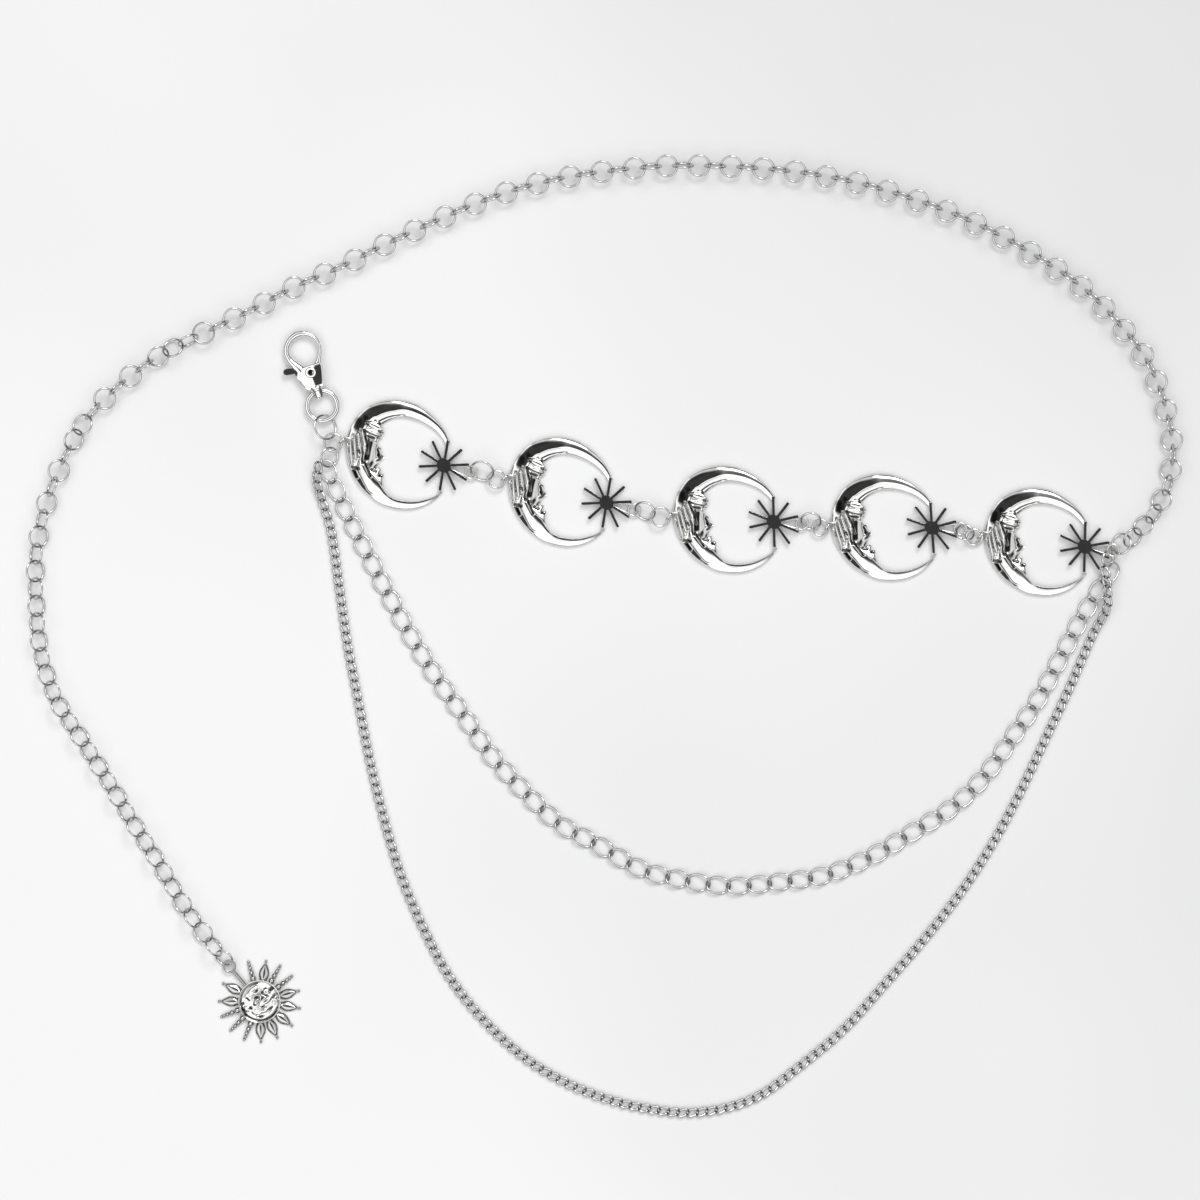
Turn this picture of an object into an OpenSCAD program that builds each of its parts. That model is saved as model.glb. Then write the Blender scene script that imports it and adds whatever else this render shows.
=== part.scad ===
// Waist chain: a lobster clasp on a swivel, five crescent charms joined by jump rings,
// two hanging chains between the ends of the charms, and a long chain that ends in a sun pendant.
// It lies flat. X runs to the right, Y away from the wearer's feet, Z up from the surface.

/* [Jump rings] */
// Thickness of the wire in the jump rings
ring_wire = 0.86; // [0.7:0.02:0.9]
// Radius of the ring that holds the swivel, to the middle of its wire
clasp_ring_r = 4.4; // [4.3:0.05:4.6]
// Radius of the ring that holds the first charm
charm_ring_r = 3.2; // [3.1:0.05:3.3]
// Radius of the ring that holds the two hanging chains
swag_ring_r = 3.5; // [3.4:0.05:3.6]
// Radius of the ring between the last charm and the long chain
end_ring_r = 3.7; // [3.6:0.05:3.8]
// Radius of the ring that holds the right ends of the hanging chains
drop_ring_r = 2.9; // [2.8:0.05:3.0]
// Radius of the ring that holds the sun pendant
sun_ring_r = 3.2; // [3.1:0.05:3.3]

/* [Crescent charm] */
// Mean radius of the crescent's outer edge
moon_r = 19.5; // [18.5:0.1:20.5]
// How much longer than wide the crescent is, as a share of its radius each way
moon_stretch = 0.06; // [0.03:0.01:0.08]
// Height of the relief at its crown
moon_h = 3.2; // [2.8:0.1:3.8]
// Height of the crescent's outer edge
moon_edge = 1.3; // [1:0.1:1.6]
// Height of the crescent's inner edge
moon_lip = 0.9; // [0.7:0.1:1.2]
// Height by which hair, petals and collar stand over the crescent
relief_rise = 0.5; // [0.3:0.1:0.8]
// Length of a star ray, from the star's centre
ray_len = 9.3; // [9.2:0.1:9.8]
// Width of a star ray
ray_w = 0.95; // [0.8:0.05:1.2]
// Radius of the star's hub
hub_r = 2.7; // [2.4:0.1:3]
// Height of the star's underside
star_z = 0.85; // [0.8:0.05:1.2]
// Thickness of the star
star_t = 1.65; // [1.4:0.05:1.8]
// Radius of the eye at the end of the bail, to the middle of its wire
eye_r = 2.1; // [2.05:0.05:2.2]
// Thickness of the wire in the bail and its eye
eye_wire = 0.8; // [0.6:0.05:0.85]
// Distance from the star's centre to the eye's centre
eye_reach = 10.3; // [10:0.1:10.6]
// Height of the eye's centre
eye_z = 1.7; // [1.6:0.05:1.8]
// Radius of the upright loop on the crescent's back, to the middle of its wire
loop_r = 1.7; // [1.65:0.05:1.85]
// Thickness of the wire in the upright loop
loop_wire = 0.84; // [0.7:0.02:0.9]

/* [Swivel clasp] */
// Radius of the hook's ring, to the middle of its bar
hook_r = 6.0; // [5.6:0.1:6.4]
// Width of the hook's bar
hook_bar = 1.4; // [1.2:0.1:1.6]
// Thickness of the hook, up and down
hook_t = 2.4; // [2:0.1:2.8]
// Distance from the swivel eye's centre to the hook's centre
hook_reach = 21; // [20.5:0.1:21.5]
// Distance from the swivel eye's centre to the rivet
rivet_reach = 12.5; // [12.2:0.1:12.8]
// Radius of the rivet
rivet_r = 0.85; // [0.7:0.05:1]
// Width of the clasp's body at the rivet
body_w = 9.4; // [9:0.1:9.8]
// Width of the clasp's body at the swivel
neck_w = 6.1; // [5.6:0.1:6.6]
// Thickness of the clasp's body
body_t = 4.6; // [4.2:0.1:5]
// Width of the slot that the lever turns in
slot_w = 1.9; // [1.6:0.1:2.1]
// Thickness of the lever
lever_t = 1.6; // [1.4:0.1:1.8]
// Radius of the swivel eye, to the middle of its wire
swivel_r = 5.4; // [5.2:0.1:5.6]
// Thickness of the swivel eye's wire
swivel_wire = 1.8; // [1.6:0.1:1.9]
// Radius of the swivel's post
post_r = 1.0; // [0.8:0.05:1.15]
// Clearance round the rivet and the swivel's post
fit_gap = 0.05; // [0.03:0.01:0.08]

/* [Long chain] */
// Radius of a ring of the long chain, to the middle of its wire
rolo_r = 3.75; // [3.7:0.01:3.85]
// Thickness of the wire in the long chain
rolo_wire = 0.85; // [0.7:0.05:0.85]
// Number of rings in the long chain
rolo_count = 120; // [100:1:120]
// Distance between the first two rings
rolo_pitch = 5.4; // [5.3:0.01:5.4]

/* [Hanging chains] */
// Half the length of a curb link, to the middle of its wire
curb_a = 4.3; // [4.2:0.01:4.35]
// Half the width of a curb link, to the middle of its wire
curb_b = 2.95; // [2.8:0.05:3.1]
// How far the sides of a curb link are twisted up and down
curb_twist = 0.8; // [0.7:0.05:0.9]
// Thickness of the wire in the curb chain
curb_wire = 0.8; // [0.7:0.02:0.84]
// Number of links in the curb chain
curb_count = 56; // [55:1:56]
// Width of the thin chain
thin_w = 3.1; // [2.6:0.1:3.4]
// Height of the thin chain
thin_h = 1.7; // [1.4:0.1:2]

/* [Sun pendant] */
// Radius of the sun's disc
sun_r = 7.85; // [7.5:0.05:8.2]
// Width of the rim round the disc
sun_rim = 1.0; // [0.8:0.1:1.2]
// Height of the rim
sun_h = 2.4; // [2:0.1:2.8]
// Height of the face at the middle of the disc
sun_face_h = 2.9; // [2.6:0.1:3.4]
// Length of the rays, from the sun's centre
sun_ray_len = 15.1; // [14.5:0.1:15.6]
// Thickness of the rays
sun_ray_t = 1.3; // [1:0.1:1.6]
// Radius of the sun's eye, to the middle of its wire
sun_eye_r = 2.1; // [2.05:0.05:2.2]
// Distance from the sun's centre to its eye
sun_eye_reach = 16.7; // [16.6:0.1:16.8]
// Thickness of the wire in the sun's eye
sun_eye_wire = 0.8; // [0.7:0.05:0.85]

/* [Hidden] */

SILVER = "silver";
// Sides of a round wire and of a ring
ROUND = 40;
// Lift of anything that lies on the surface, so that nothing cuts into it
REST = 0.05;

// Where the chains lie, in round millimetres along each of them
LONG_ROUTE = [[188.5, 34], [199.5, 47.5], [204, 64.5], [201.5, 82], [195, 98.5], [184.5, 112.5],
    [172, 125], [157.5, 135], [142, 144], [126, 151.5], [109.5, 157.5], [92.5, 162.5],
    [75, 166], [57.5, 168], [39.5, 169], [22, 169], [4, 167.5], [-13.5, 165],
    [-30.5, 161], [-47.5, 155], [-63.5, 148], [-79.5, 140.5], [-95.5, 132.5], [-111.5, 125.5],
    [-127.5, 117], [-143, 109.5], [-159, 101.5], [-173.5, 91], [-186, 78.5], [-194.5, 63.5],
    [-201, 47], [-204.5, 29.5], [-204.5, 12], [-203, -5.5], [-197.5, -22.5], [-188, -37.5],
    [-178.5, -52.5], [-169.5, -67.5], [-160, -82.5], [-151, -97.5], [-140, -112.5]];
CURB_ROUTE = [[-99.5, 59], [-92.5, 43.5], [-85, 28.5], [-77, 13], [-69, -1.5], [-60, -16],
    [-50, -30], [-40.5, -43.5], [-29, -56], [-16.5, -67.5], [-2, -75.5], [13, -84],
    [29, -88], [46, -90], [63, -88.5], [79.5, -86], [95.5, -79.5], [110, -71],
    [124.5, -62], [136.5, -50.5], [146.5, -36.5], [156, -22.5], [164, -7.5], [172, 7.5],
    [181.3, 22.5]];
// The thin chain's route has its height too, because its ends lie over the curb chain
THIN_ROUTE = [[-103, 61.3, 3.7], [-103.6, 55.5, 2.3], [-101.6, 48, 1.1], [-98.5, 37.5, 0.95],
    [-95.5, 16.5, 0.95],
    [-92.5, -4, 0.9], [-88.5, -25, 0.9], [-84.5, -45.5, 0.9], [-79.5, -66, 0.9],
    [-73.5, -86, 0.9], [-65.5, -105, 0.9], [-55.5, -123.5, 0.9], [-42, -140, 0.9],
    [-26.5, -153.5, 0.9], [-8, -163.5, 0.9], [12, -169.5, 0.9], [33, -171.5, 0.9],
    [53.5, -166.5, 0.9], [70.5, -154.5, 0.9], [86.5, -141, 0.9], [100.5, -125.5, 0.9],
    [114.5, -109.5, 0.9], [127.5, -93, 0.9], [139, -75.5, 0.9], [149, -57, 0.9],
    [158, -38, 0.9], [167, -19, 0.95], [175.5, 0.5, 1.1], [180.3, 9.5, 2.5], [180.6, 16, 4.6],
    [179.8, 23.8, 4.5]];

// Roll of the long chain's rings about its run: [number of the ring, roll]
ROLO_ROLL = [[0, 45], [6, 75], [76, 75], [81, 165], [84, 165], [88, 255], [92, 240], [97, 225],
    [110, 225], [119, 212]];
// How much the distance between rings grows from each to the next
ROLO_GROWTH = 0.009;
// Slack taken up near the first rings: [number of the ring, distance added]
ROLO_SLACK = [[0, 0.4], [5, 1.8], [40, 0]];
// How far the flat rings hang below the upright ones: [number of the ring, height]
ROLO_SAG = [[0, 0.4], [5, 1.2], [25, 1], [40, 0.4]];
// How far the first ring lies along the route
ROLO_START = 1.5;
// Roll and lift of the curb chain's end links, which die out over this many links
CURB_END_ROLL = [17, -16];
CURB_END_LIFT = 0.65;
CURB_END_LINKS = 6;

// First charm's loop, and how far each charm is turned
FIRST_LOOP = [-94.5, 70.4];
CHARM_TURN = [-10.8, -10.7, 0, 2.3, -3];
// Steps from a charm's eye to the next charm's loop
JOIN_STEP = [[12, -1.7], [12.6, -2.2], [9, -0.9], [7.2, -2.4]];
// Ring hooked in the eye: [x and y from the eye, height, radius, roll, pitch]
EYE_RING = [[3.8, 0.6, 2.9, 4.1, 34, -14], [3.9, -0.4, 2.8, 3.7, 32, -24],
    [3.1, 1, 2.5, 3.5, 34, -5], [1.6, -1.3, 2.4, 3.2, -33, 14]];
// Ring hooked in the next charm's loop: [x and y from the loop, height, radius, roll, pitch]
LOOP_RING = [[-3, -0.7, 2.4, 3.1, -1, 2], [-3.2, -0.3, 2.9, 3.4, 0, 5],
    [-2.5, -0.5, 2, 2.9, -1, 0], [-2.3, -0.6, 1.9, 2.9, 12, 2]];
// Rings at the two ends: [x, y, height, roll, pitch], from the first loop on the left
CLASP_RING_AT = [-6.1, 4.7, 3, -12, 33];
CHARM_RING_AT = [-3.3, -0.8, 2.7, -2, -1];
SWAG_RING_AT = [-4.6, -6.1, 2.6, 11, 32];
// and from the last charm's eye on the right
END_RING_AT = [3, 2.3, 2.5, -15, -30];
DROP_RING_AT = [-1.9, -3.1, 2.6, 5, 47];

// The crescent, a row for each station from its upper tip round to its lower tip:
// [angle, inner edge as a share of moon_r, crown's place from inner 0 to outer 1,
//  crown's height as a share of moon_h]
MOON = [[23, 0.9, 0.5, 0.5], [30, 0.845, 0.5, 0.52], [40, 0.803, 0.5, 0.56],
    [50, 0.766, 0.5, 0.62], [60, 0.738, 0.5, 0.68], [70, 0.714, 0.5, 0.74],
    [80, 0.697, 0.5, 0.8], [90, 0.69, 0.5, 0.85], [100, 0.68, 0.5, 0.9],
    [110, 0.66, 0.5, 0.93], [120, 0.655, 0.5, 0.96], [130, 0.645, 0.52, 0.98],
    [134, 0.5, 0.56, 1], [140, 0.485, 0.58, 1], [147, 0.435, 0.6, 1], [153, 0.455, 0.6, 1],
    [158, 0.475, 0.62, 1], [163, 0.45, 0.64, 1], [168, 0.42, 0.64, 1], [173, 0.365, 0.64, 1],
    [180, 0.345, 0.64, 1], [188, 0.325, 0.64, 1], [196, 0.305, 0.64, 1],
    [203, 0.29, 0.64, 1], [207, 0.335, 0.64, 1], [210, 0.375, 0.64, 1],
    [214, 0.395, 0.64, 1], [219, 0.5, 0.64, 1], [224, 0.455, 0.64, 1],
    [229, 0.43, 0.64, 1], [233, 0.475, 0.64, 1], [237, 0.49, 0.62, 1],
    [241, 0.475, 0.62, 1], [245, 0.5, 0.6, 0.98], [250, 0.59, 0.58, 0.96],
    [256, 0.665, 0.55, 0.92], [264, 0.76, 0.5, 0.86], [272, 0.795, 0.5, 0.8],
    [280, 0.82, 0.5, 0.75], [290, 0.858, 0.5, 0.7], [300, 0.904, 0.5, 0.64],
    [310, 0.95, 0.5, 0.58], [320, 0.996, 0.5, 0.53], [329.5, 1.015, 0.5, 0.5]];
// Angle of the crescent's longer way
MOON_AXIS = 140;
// Raised locks of hair, petals of the forelock and the collar:
// [start and end as shares of moon_r, bow to the left and width as shares of moon_r, height of its base]
RELIEF = [[[-0.8, 0.31], [-0.63, -0.02], 0.02, 0.075, 0.72],
    [[-0.89, 0.22], [-0.69, -0.17], 0.02, 0.075, 0.66],
    [[-0.95, 0.15], [-0.76, -0.23], 0.02, 0.075, 0.55],
    [[-1.0, 0.06], [-0.82, -0.29], 0.02, 0.07, 0.45],
    [[-0.7, 0.48], [-0.38, 0.36], 0.05, 0.12, 0.62],
    [[-0.68, 0.36], [-0.37, 0.25], 0.04, 0.12, 0.62],
    [[-0.62, 0.24], [-0.44, 0.17], 0.03, 0.1, 0.66],
    [[-0.64, -0.26], [-0.14, -0.8], 0.05, 0.27, 0.6]];
// Share of the crescent's width where its shoulders lie, and their height as a share of the crown's
OUTER_SHOULDER = [0.86, 0.8];
INNER_SHOULDER = [0.25, 0.62];

// Star's centre, the eye and the upright loop, from the crescent's centre
STAR_AT = [0.846 * moon_r, -0.05 * moon_r];
STAR_TURN = 16.2;
RAYS = 10;
EYE_ANGLE = -4;
EYE_AT = STAR_AT + eye_reach * [cos(EYE_ANGLE), sin(EYE_ANGLE)];
BAIL_T = 0.64;
LOOP_ANGLE = 177;
LOOP_OUT = 1.3;
LOOP_AT = (moon_outer(LOOP_ANGLE) + LOOP_OUT) * [cos(LOOP_ANGLE), sin(LOOP_ANGLE)];
LOOP_HEADING = 50;
LOOP_Z = loop_r + loop_wire / 2 + REST;

// Clasp: the swivel eye's centre and the way the hook points
CLASP_AT = [-101.7, 82.9];
CLASP_HEADING = 108.9;
CLASP_Z = body_t / 2 + REST;
// Shoulder of the swivel eye, the body's foot and the post's head, along the clasp
SHOULDER_R = 1.85;
SHOULDER_LEN = 3;
HEAD_R = 1.5;
HEAD_LEN = 0.8;
BODY_FOOT = swivel_r + swivel_wire / 2 + 0.4;
RIVET_BOSS = 1.95;
// Half angle of the hook's mouth, and the angles where the hook's bar starts and ends
MOUTH_FROM = -87;
MOUTH_TO = 188;
// Clearance between the lever's tip, as it swings, and the end of the hook's bar
TIP_GAP = 0.2;
TIP_R = norm([hook_reach - rivet_reach + (hook_r - hook_bar / 2) * cos(MOUTH_FROM),
    (hook_r - hook_bar / 2) * sin(MOUTH_FROM)]) - TIP_GAP;
// Tab that opens the lever: its length, width and how far in front of the rivet it stands
TAB_LEN = 9.6;
TAB_W = 2.4;
TAB_FRONT = 1.6;
// Clearance between the tab's front and the end of the slot
SLOT_GAP = 0.7;

// Sun: its eye, which the ring on the long chain holds, the eye's bearing from the sun's centre,
// and the bearing of each ray with its kind, 1 for leaf, 0 for beads
SUN_EYE_AT = [-135.17, -118.82];
SUN_EYE_BEARING = 130.6;
SUN_AT = SUN_EYE_AT - sun_eye_reach * [cos(SUN_EYE_BEARING), sin(SUN_EYE_BEARING)];
SUN_RAYS = [[15, 1], [38, 0], [60, 0], [81, 1], [106, 0], [154, 0], [180, 1], [202, 0],
    [225, 0], [248, 0], [272, 1], [296, 1], [323, 1], [350, 1]];
SUN_RING_AT = [-137, -115.7, 2.7, 35.4, -28.2];
SUN_EYE_Z = 1.7;

// A point turned about the origin
function turned(p, a) = [p[0] * cos(a) - p[1] * sin(a), p[0] * sin(a) + p[1] * cos(a)];

// One point of the smooth curve through four neighbours, after Catmull and Rom
function spline(a, b, c, d, t) =
    0.5 * (2 * b + (c - a) * t + (2 * a - 5 * b + 4 * c - d) * t * t
        + (3 * b - a - 3 * c + d) * t * t * t);

// A route made smooth, with steps points between each two of its own
function smooth(route, steps) =
    let (last = len(route) - 1,
        p = concat([2 * route[0] - route[1]], route, [2 * route[last] - route[last - 1]]))
    concat([for (i = [0 : last - 1], k = [0 : steps - 1])
        spline(p[i], p[i + 1], p[i + 2], p[i + 3], k / steps)], [route[last]]);

// Distance along a line of points, at each of its points
function run(line) = [for (i = 0, s = 0; i < len(line);
    s = s + (i + 1 < len(line) ? norm(line[i + 1] - line[i]) : 0), i = i + 1) s];

// The same line as three tables that lookup() reads: X, Y and Z by distance
function tables(line) = let (s = run(line))
    [for (axis = [0 : len(line[0]) - 1]) [for (i = [0 : len(line) - 1]) [s[i], line[i][axis]]]];

// Where a table of a line is at a distance, and which way it heads there
function at(table, d) = [for (axis = table) lookup(d, axis)];
function heading(table, d, reach) = let (v = at(table, d + reach) - at(table, d - reach))
    atan2(v[1], v[0]);
function whole_length(table) = table[0][len(table[0]) - 1][0];

LONG_LINE = tables(smooth(LONG_ROUTE, 8));
CURB_LINE = tables(smooth(CURB_ROUTE, 8));
HEADING_REACH = 3;

// A closed tube: rings of points, joined in order, with or without joining the last to the first
function tube_faces(rings, sides, closed) = concat(
    [for (i = [0 : rings - (closed ? 1 : 2)], k = [0 : sides - 1])
        let (j = (i + 1) % rings, m = (k + 1) % sides)
            each [[i * sides + k, i * sides + m, j * sides + m],
                [i * sides + k, j * sides + m, j * sides + k]]],
    closed ? [] : [[for (k = [sides - 1 : -1 : 0]) k],
        [for (k = [0 : sides - 1]) (rings - 1) * sides + k]]);

// A round ring of wire, lying flat
module torus(mid_r, wire) {
    rotate_extrude($fn = ROUND)
        translate([mid_r, 0])
            circle(d = wire, $fn = ROUND);
}

// A jump ring at a place, rolled about X and pitched about Y
module jump_ring(place, z, mid_r, roll, pitch) {
    color(SILVER)
        translate([place[0], place[1], z])
            rotate([roll, pitch, 0])
                torus(mid_r, ring_wire);
}

// A straight round bar between two points at one height
module bar(from, to, z, r) {
    v = to - from;
    translate([from[0], from[1], z])
        rotate([0, 90, atan2(v[1], v[0])])
            cylinder(h = norm(v), r = r, $fn = ROUND);
}

// Outer edge of the crescent at an angle
function moon_outer(a) = moon_r * (1 + moon_stretch * cos(2 * (a - MOON_AXIS)));

// Drawn out along the crescent's longer way, as the whole casting is
function drawn_out(p) = let (u = [cos(MOON_AXIS), sin(MOON_AXIS)], v = [-u[1], u[0]])
    (p * u) * (1 + moon_stretch) * u + (p * v) * (1 - moon_stretch) * v;

// One cross section of the crescent: inner foot, outer foot, edge, shoulder, crown, shoulder, lip
function moon_section(row) =
    let (a = row[0], outer = moon_outer(a), inner = moon_r * row[1], crown = moon_h * row[3],
        across = [0, 1, 1, OUTER_SHOULDER[0], row[2], INNER_SHOULDER[0], 0],
        high = [0, 0, min(moon_edge, 0.8 * crown), crown * OUTER_SHOULDER[1], crown,
            crown * INNER_SHOULDER[1], min(moon_lip, 0.6 * crown)])
    [for (k = [0 : 6]) let (r = inner + (outer - inner) * across[k])
        [r * cos(a), r * sin(a), high[k]]];

module crescent() {
    rings = len(MOON);
    points = [for (row = MOON) each moon_section(row)];
    polyhedron(points, tube_faces(rings, 7, false), convexity = 8);
}

// A raised lock or petal: a ridge that swells and thins from one end to the other
module lock(from, to, bow, width, base) {
    steps = 6;
    side = let (v = to - from) [-v[1], v[0]] / norm(v);
    points = [for (i = [0 : steps]) let (t = i / steps, swell = 0.25 + 0.75 * sin(180 * t),
        c = moon_r * (from + (to - from) * t + side * bow * sin(180 * t)),
        w = moon_r * width / 2 * swell)
        each [[c[0] - side[0] * w, c[1] - side[1] * w, base],
            [c[0], c[1], base + (moon_h - base) * 0.75 + relief_rise * swell],
            [c[0] + side[0] * w, c[1] + side[1] * w, base]]];
    polyhedron(points, tube_faces(steps + 1, 3, false));
}

// The star: a hub and ten straight rays, drawn out as the crescent is
module star() {
    ray = [for (i = [0 : RAYS - 1]) let (a = STAR_TURN + 360 / RAYS * i, u = [cos(a), sin(a)],
        v = [-u[1], u[0]], root = hub_r * 0.97, half = ray_w / 2)
        each [root * u - half * v, ray_len * u - half * v, ray_len * u + half * v, root * u + half * v]];
    translate([STAR_AT[0], STAR_AT[1], star_z])
        linear_extrude(star_t)
            polygon([for (p = ray) drawn_out(p)]);
}

// The bail: two flat bars from the hub that spread to the sides of a flat eye
module bail() {
    u = [cos(EYE_ANGLE), sin(EYE_ANGLE)];
    side = [-u[1], u[0]];
    translate([0, 0, eye_z - BAIL_T / 2])
        linear_extrude(BAIL_T)
            for (s = [-1, 1]) {
                from = STAR_AT + u * hub_r / 2 + s * side * 0.3;
                to = EYE_AT - u * eye_r * 0.3 + s * side * eye_r * 0.92;
                polygon([from - side * BAIL_T / 2, to - side * BAIL_T / 2,
                    to + side * BAIL_T / 2, from + side * BAIL_T / 2]);
            }
    translate([EYE_AT[0], EYE_AT[1], eye_z])
        torus(eye_r, eye_wire);
}

// The upright loop at the crescent's back, with the stub that joins it
module back_loop() {
    near = LOOP_AT + loop_r * [cos(LOOP_HEADING), sin(LOOP_HEADING)];
    inward = near * (1 - 2.2 / norm(near));
    translate([LOOP_AT[0], LOOP_AT[1], LOOP_Z])
        rotate([90, 0, LOOP_HEADING])
            torus(loop_r, loop_wire);
    bar(near, inward, LOOP_Z - 0.3, loop_wire * 0.6);
}

// Charms follow each other: each loop is a step on from the last charm's eye
function loop_place(k) = k == 0 ? FIRST_LOOP : eye_place(k - 1) + JOIN_STEP[k - 1];
function charm_place(k) = loop_place(k) - turned(LOOP_AT, CHARM_TURN[k]);
function eye_place(k) = charm_place(k) + turned(EYE_AT, CHARM_TURN[k]);

module moon_charm(k) {
    place = charm_place(k);
    color(SILVER)
        translate([place[0], place[1], 0])
            rotate([0, 0, CHARM_TURN[k]]) {
                crescent();
                for (row = RELIEF)
                    lock(row[0], row[1], row[2], row[3], row[4]);
                star();
                bail();
                back_loop();
            }
}

module eye_ring(k) {
    row = EYE_RING[k];
    jump_ring(eye_place(k) + [row[0], row[1]], row[2], row[3], row[4], row[5]);
}

module loop_ring(k) {
    row = LOOP_RING[k];
    jump_ring(loop_place(k + 1) + [row[0], row[1]], row[2], row[3], row[4], row[5]);
}

module placed_ring(from, row, mid_r) {
    jump_ring(from + [row[0], row[1]], row[2], mid_r, row[3], row[4]);
}

// Long chain: distance, roll and height of each ring
function rolo_distance(i) = ROLO_START + rolo_pitch * i + ROLO_GROWTH / 2 * i * i + lookup(i, ROLO_SLACK);
function rolo_roll(i) = lookup(i, ROLO_ROLL) + 90 * (i % 2);
function rolo_lift(i) = rolo_r * abs(sin(rolo_roll(i))) + rolo_wire / 2 + REST;
function rolo_height(i) = max(rolo_lift(i),
    max(rolo_lift(max(0, i - 1)), rolo_lift(min(rolo_count - 1, i + 1))) - lookup(i, ROLO_SAG));

module long_chain() {
    color(SILVER)
        for (i = [0 : rolo_count - 1]) {
            d = rolo_distance(i);
            p = at(LONG_LINE, d);
            translate([p[0], p[1], rolo_height(i)])
                rotate([rolo_roll(i), 0, heading(LONG_LINE, d, HEADING_REACH)])
                    torus(rolo_r, rolo_wire);
        }
}

// Curb link: a twisted oval, as one closed tube of wire
CURB_STATIONS = 12;
CURB_SIDES = 5;
function curb_centre(t) = [curb_a * cos(t), curb_b * sin(t), curb_twist * sin(2 * t)];
function curb_way(t) = [-curb_a * sin(t), curb_b * cos(t), 2 * curb_twist * cos(2 * t)];
CURB_POINTS = [for (i = [0 : CURB_STATIONS - 1]) let (t = 360 / CURB_STATIONS * i,
    way = curb_way(t) / norm(curb_way(t)), out = cross(way, [0, 0, 1]) / norm(cross(way, [0, 0, 1])),
    up = cross(out, way))
    for (k = [0 : CURB_SIDES - 1]) let (q = 360 / CURB_SIDES * k)
        curb_centre(t) + curb_wire / 2 * (cos(q) * out + sin(q) * up)];

// How much of the end roll and lift a link keeps, at either end of the curb chain
function fade(i) = max(0, 1 - i / CURB_END_LINKS);
CURB_Z = curb_twist + curb_wire / 2 + REST;

module curb_chain() {
    color(SILVER)
        for (i = [0 : curb_count - 1]) {
            first = fade(i);
            last = fade(curb_count - 1 - i);
            d = whole_length(CURB_LINE) * i / (curb_count - 1);
            p = at(CURB_LINE, d);
            translate([p[0], p[1], CURB_Z + CURB_END_LIFT * (first + last)])
                rotate([0, 0, heading(CURB_LINE, d, HEADING_REACH)])
                    rotate([CURB_END_ROLL[0] * first + CURB_END_ROLL[1] * last, 0, 0])
                        polyhedron(CURB_POINTS, tube_faces(CURB_STATIONS, CURB_SIDES, true));
        }
}

// Thin chain, as a flat tube along its route that narrows to one link at each end
THIN_SIDES = 8;
THIN_END = [[0, 0.6], [6, 1]];
module thin_chain() {
    line = smooth(THIN_ROUTE, 2);
    last = len(line) - 1;
    function slim(p) = lookup(min(norm(p - line[0]), norm(p - line[last])), THIN_END);
    points = [for (i = [0 : last]) let (v = line[min(last, i + 1)] - line[max(0, i - 1)],
        side = [-v[1], v[0], 0] / norm([v[0], v[1]]), up = cross(v, side) / norm(cross(v, side)))
        for (k = [0 : THIN_SIDES - 1]) let (q = 360 / THIN_SIDES * k)
            line[i] + slim(line[i]) * (thin_w / 2 * cos(q) * side + thin_h / 2 * sin(q) * up)];
    color(SILVER)
        polyhedron(points, tube_faces(last + 1, THIN_SIDES, false), convexity = 10);
}

// Places a piece in the clasp's own frame: X towards the hook, Z up, origin on its axis
module in_clasp() {
    translate([CLASP_AT[0], CLASP_AT[1], CLASP_Z])
        rotate([0, 0, CLASP_HEADING])
            children();
}

// Swivel eye: a ring and a shoulder that the clasp's post turns in
module swivel_eye() {
    color(SILVER)
        in_clasp()
            difference() {
                union() {
                    torus(swivel_r, swivel_wire);
                    translate([swivel_r + swivel_wire / 2 - SHOULDER_LEN, 0, 0])
                        rotate([0, 90, 0])
                            cylinder(h = SHOULDER_LEN, r = SHOULDER_R, $fn = ROUND);
                }
                rotate([0, 90, 0])
                    cylinder(h = BODY_FOOT, r = post_r + fit_gap, $fn = ROUND);
            }
}

// Outline of the hook's bar: part of a flat ring, open at the mouth
module hook_outline() {
    outer = hook_r + hook_bar / 2;
    inner = hook_r - hook_bar / 2;
    steps = 24;
    function spot(r, i, n) = let (a = MOUTH_FROM + (MOUTH_TO - MOUTH_FROM) * i / n)
        r * [cos(a), sin(a)];
    polygon(concat([for (i = [0 : steps]) spot(outer, i, steps)],
        [for (i = [steps : -1 : 0]) spot(inner, i, steps)]));
}

// Outline of the clasp's body, from its foot at the swivel to the hook
module body_outline() {
    polygon([[BODY_FOOT, -neck_w / 2], [rivet_reach - 2.2, -body_w * 0.42],
        [rivet_reach + 1.2, -body_w * 0.48], [rivet_reach + 2.6, -body_w * 0.4],
        [rivet_reach + 2.6, body_w * 0.2], [hook_reach - 3, hook_r - hook_bar / 2],
        [hook_reach - 3, hook_r + hook_bar / 2], [rivet_reach + 2, body_w * 0.56],
        [rivet_reach - 2.2, body_w * 0.5], [BODY_FOOT, neck_w / 2]]);
}

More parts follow.
